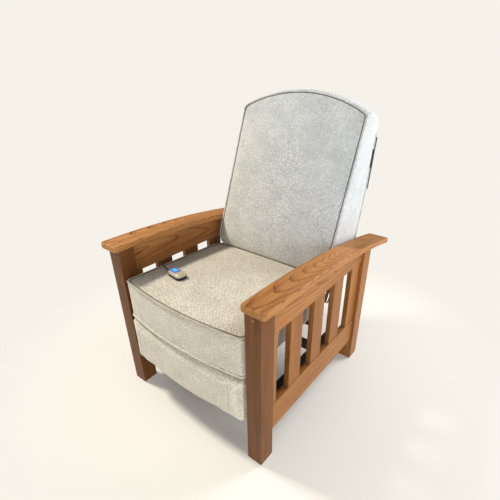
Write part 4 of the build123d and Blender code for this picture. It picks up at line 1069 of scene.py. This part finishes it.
def make_footrest():
    """The footrest pad, with soft rounded edges, a bowed front and two shallow seams."""
    rings = []
    for z, inset in footrest_levels():
        below = max(0.0, footrest_bottom + footrest_foot_round - z)
        round_off = footrest_foot_round - sqrt(footrest_foot_round**2 - below**2)
        half = footrest_half_width - max(inset, round_off)
        front = -footrest_front + inset
        outline = bowed_outline(half, front, footrest_bow, footrest_rear, footrest_corner)
        rings.append([(x, at(depth), z) for x, depth in outline])
    form = ring_mesh("footrest_upholstery", rings)
    pad = remeshed("footrest_upholstery", form, seat_weave)
    points = points_of(pad.data)
    rear = points[:, 1] - front_face > footrest_rear - face_band
    cap = np.full(len(points), footrest_swell)
    cap[np.abs(points[:, 0]) > footrest_half_width - footrest_side_band] = footrest_side_swell
    cap[points[:, 2] > footrest_top - footrest_top_band] = footrest_top_swell
    inflate(pad, rear, cap)
    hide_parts("footrest_pad")
    finish_soft(pad)
    points = points_of(pad.data)
    off_seam = np.abs(points[:, 0]) - footrest_seam_x
    front = points[:, 1] < at(face_band)
    groove = footrest_seam_depth * np.exp(-((off_seam / footrest_seam_half) ** 2))
    points[:, 1] += front * groove
    move_points(pad.data, points)
    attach(pad, "ottoman")


make_seat()
make_seat_welt()
make_back()
make_back_welt()
make_flaps()
make_outer_panel()
make_footrest()


# Stage and light

background = linear(246, 242, 233)
floor_colour = linear(238, 233, 223)
floor_reach = 14.0
floor_fade = (0.3, 1.2)
sky_colour = (0.93, 0.96, 1.0)
sky_strength = 0.22


def make_floor():
    """A plain pale floor that keeps the shadow and fades into the backdrop's colour."""
    mesh = bpy.data.meshes.new("floor")
    reach = floor_reach
    corners = [(-reach, -reach, 0), (reach, -reach, 0), (reach, reach, 0), (-reach, reach, 0)]
    mesh.from_pydata(corners, [], [(0, 1, 2, 3)])
    floor = bpy.data.objects.new("floor", mesh)
    scene.collection.objects.link(floor)
    n = Nodes("floor")
    n.set(Base_Color=floor_colour, Roughness=0.9, Specular_IOR_Level=0.1)
    glow = n.tree.nodes.new("ShaderNodeEmission")
    glow.inputs["Color"].default_value = (*background, 1)
    far = n.ramp(n.vector("LENGTH", n.position()), *floor_fade)
    path = n.tree.nodes.new("ShaderNodeLightPath")
    seen = n.math("MAXIMUM", path.outputs["Is Camera Ray"], path.outputs["Is Glossy Ray"])
    blend = n.tree.nodes.new("ShaderNodeMixShader")
    n.put(n.math("MULTIPLY", far, seen), blend.inputs["Fac"])
    n.link(n.shader.outputs["BSDF"], blend.inputs[1])
    n.link(glow.outputs["Emission"], blend.inputs[2])
    n.link(blend.outputs["Shader"], n.tree.nodes["Material Output"].inputs["Surface"])
    mesh.materials.append(n.material)


def make_world():
    """Soft even light, seen as the plain backdrop."""
    world = bpy.data.worlds.new("studio")
    world.use_nodes = True
    tree = world.node_tree
    light = tree.nodes["Background"]
    light.inputs["Color"].default_value = (*sky_colour, 1)
    light.inputs["Strength"].default_value = sky_strength
    seen = tree.nodes.new("ShaderNodeBackground")
    seen.inputs["Color"].default_value = (*background, 1)
    path = tree.nodes.new("ShaderNodeLightPath")
    either = tree.nodes.new("ShaderNodeMath")
    either.operation = "MAXIMUM"
    tree.links.new(path.outputs["Is Camera Ray"], either.inputs[0])
    tree.links.new(path.outputs["Is Transmission Ray"], either.inputs[1])
    blend = tree.nodes.new("ShaderNodeMixShader")
    tree.links.new(either.outputs[0], blend.inputs["Fac"])
    tree.links.new(light.outputs["Background"], blend.inputs[1])
    tree.links.new(seen.outputs["Background"], blend.inputs[2])
    tree.links.new(blend.outputs["Shader"], tree.nodes["World Output"].inputs["Surface"])
    scene.world = world


def area_lamp(name, place, target, size, power, colour):
    """A soft square lamp that points at a target."""
    data = bpy.data.lights.new(name, "AREA")
    data.size = size
    data.energy = power
    data.color = colour
    lamp = bpy.data.objects.new(name, data)
    lamp.location = place
    lamp.rotation_euler = (Vector(target) - Vector(place)).to_track_quat("-Z", "Y").to_euler()
    scene.collection.objects.link(lamp)


make_floor()
make_world()
area_lamp("key", (-2.2, -0.75, 3.1), (0, 0, 0.5), 0.5, 130, (1.0, 0.95, 0.86))
area_lamp("fill", (2.7, -0.2, 0.6), (0, 0, 0.5), 1.2, 48, sky_colour)
area_lamp("rear", (1.0, 1.3, 1.6), (0.2, 0.2, 0.7), 0.8, 30, (0.96, 0.98, 1.0))
area_lamp("front", (1.1, -2.8, 0.7), (0, 0, 0.6), 1.4, 30, (0.90, 0.95, 1.0))
scene.view_settings.view_transform = "Standard"
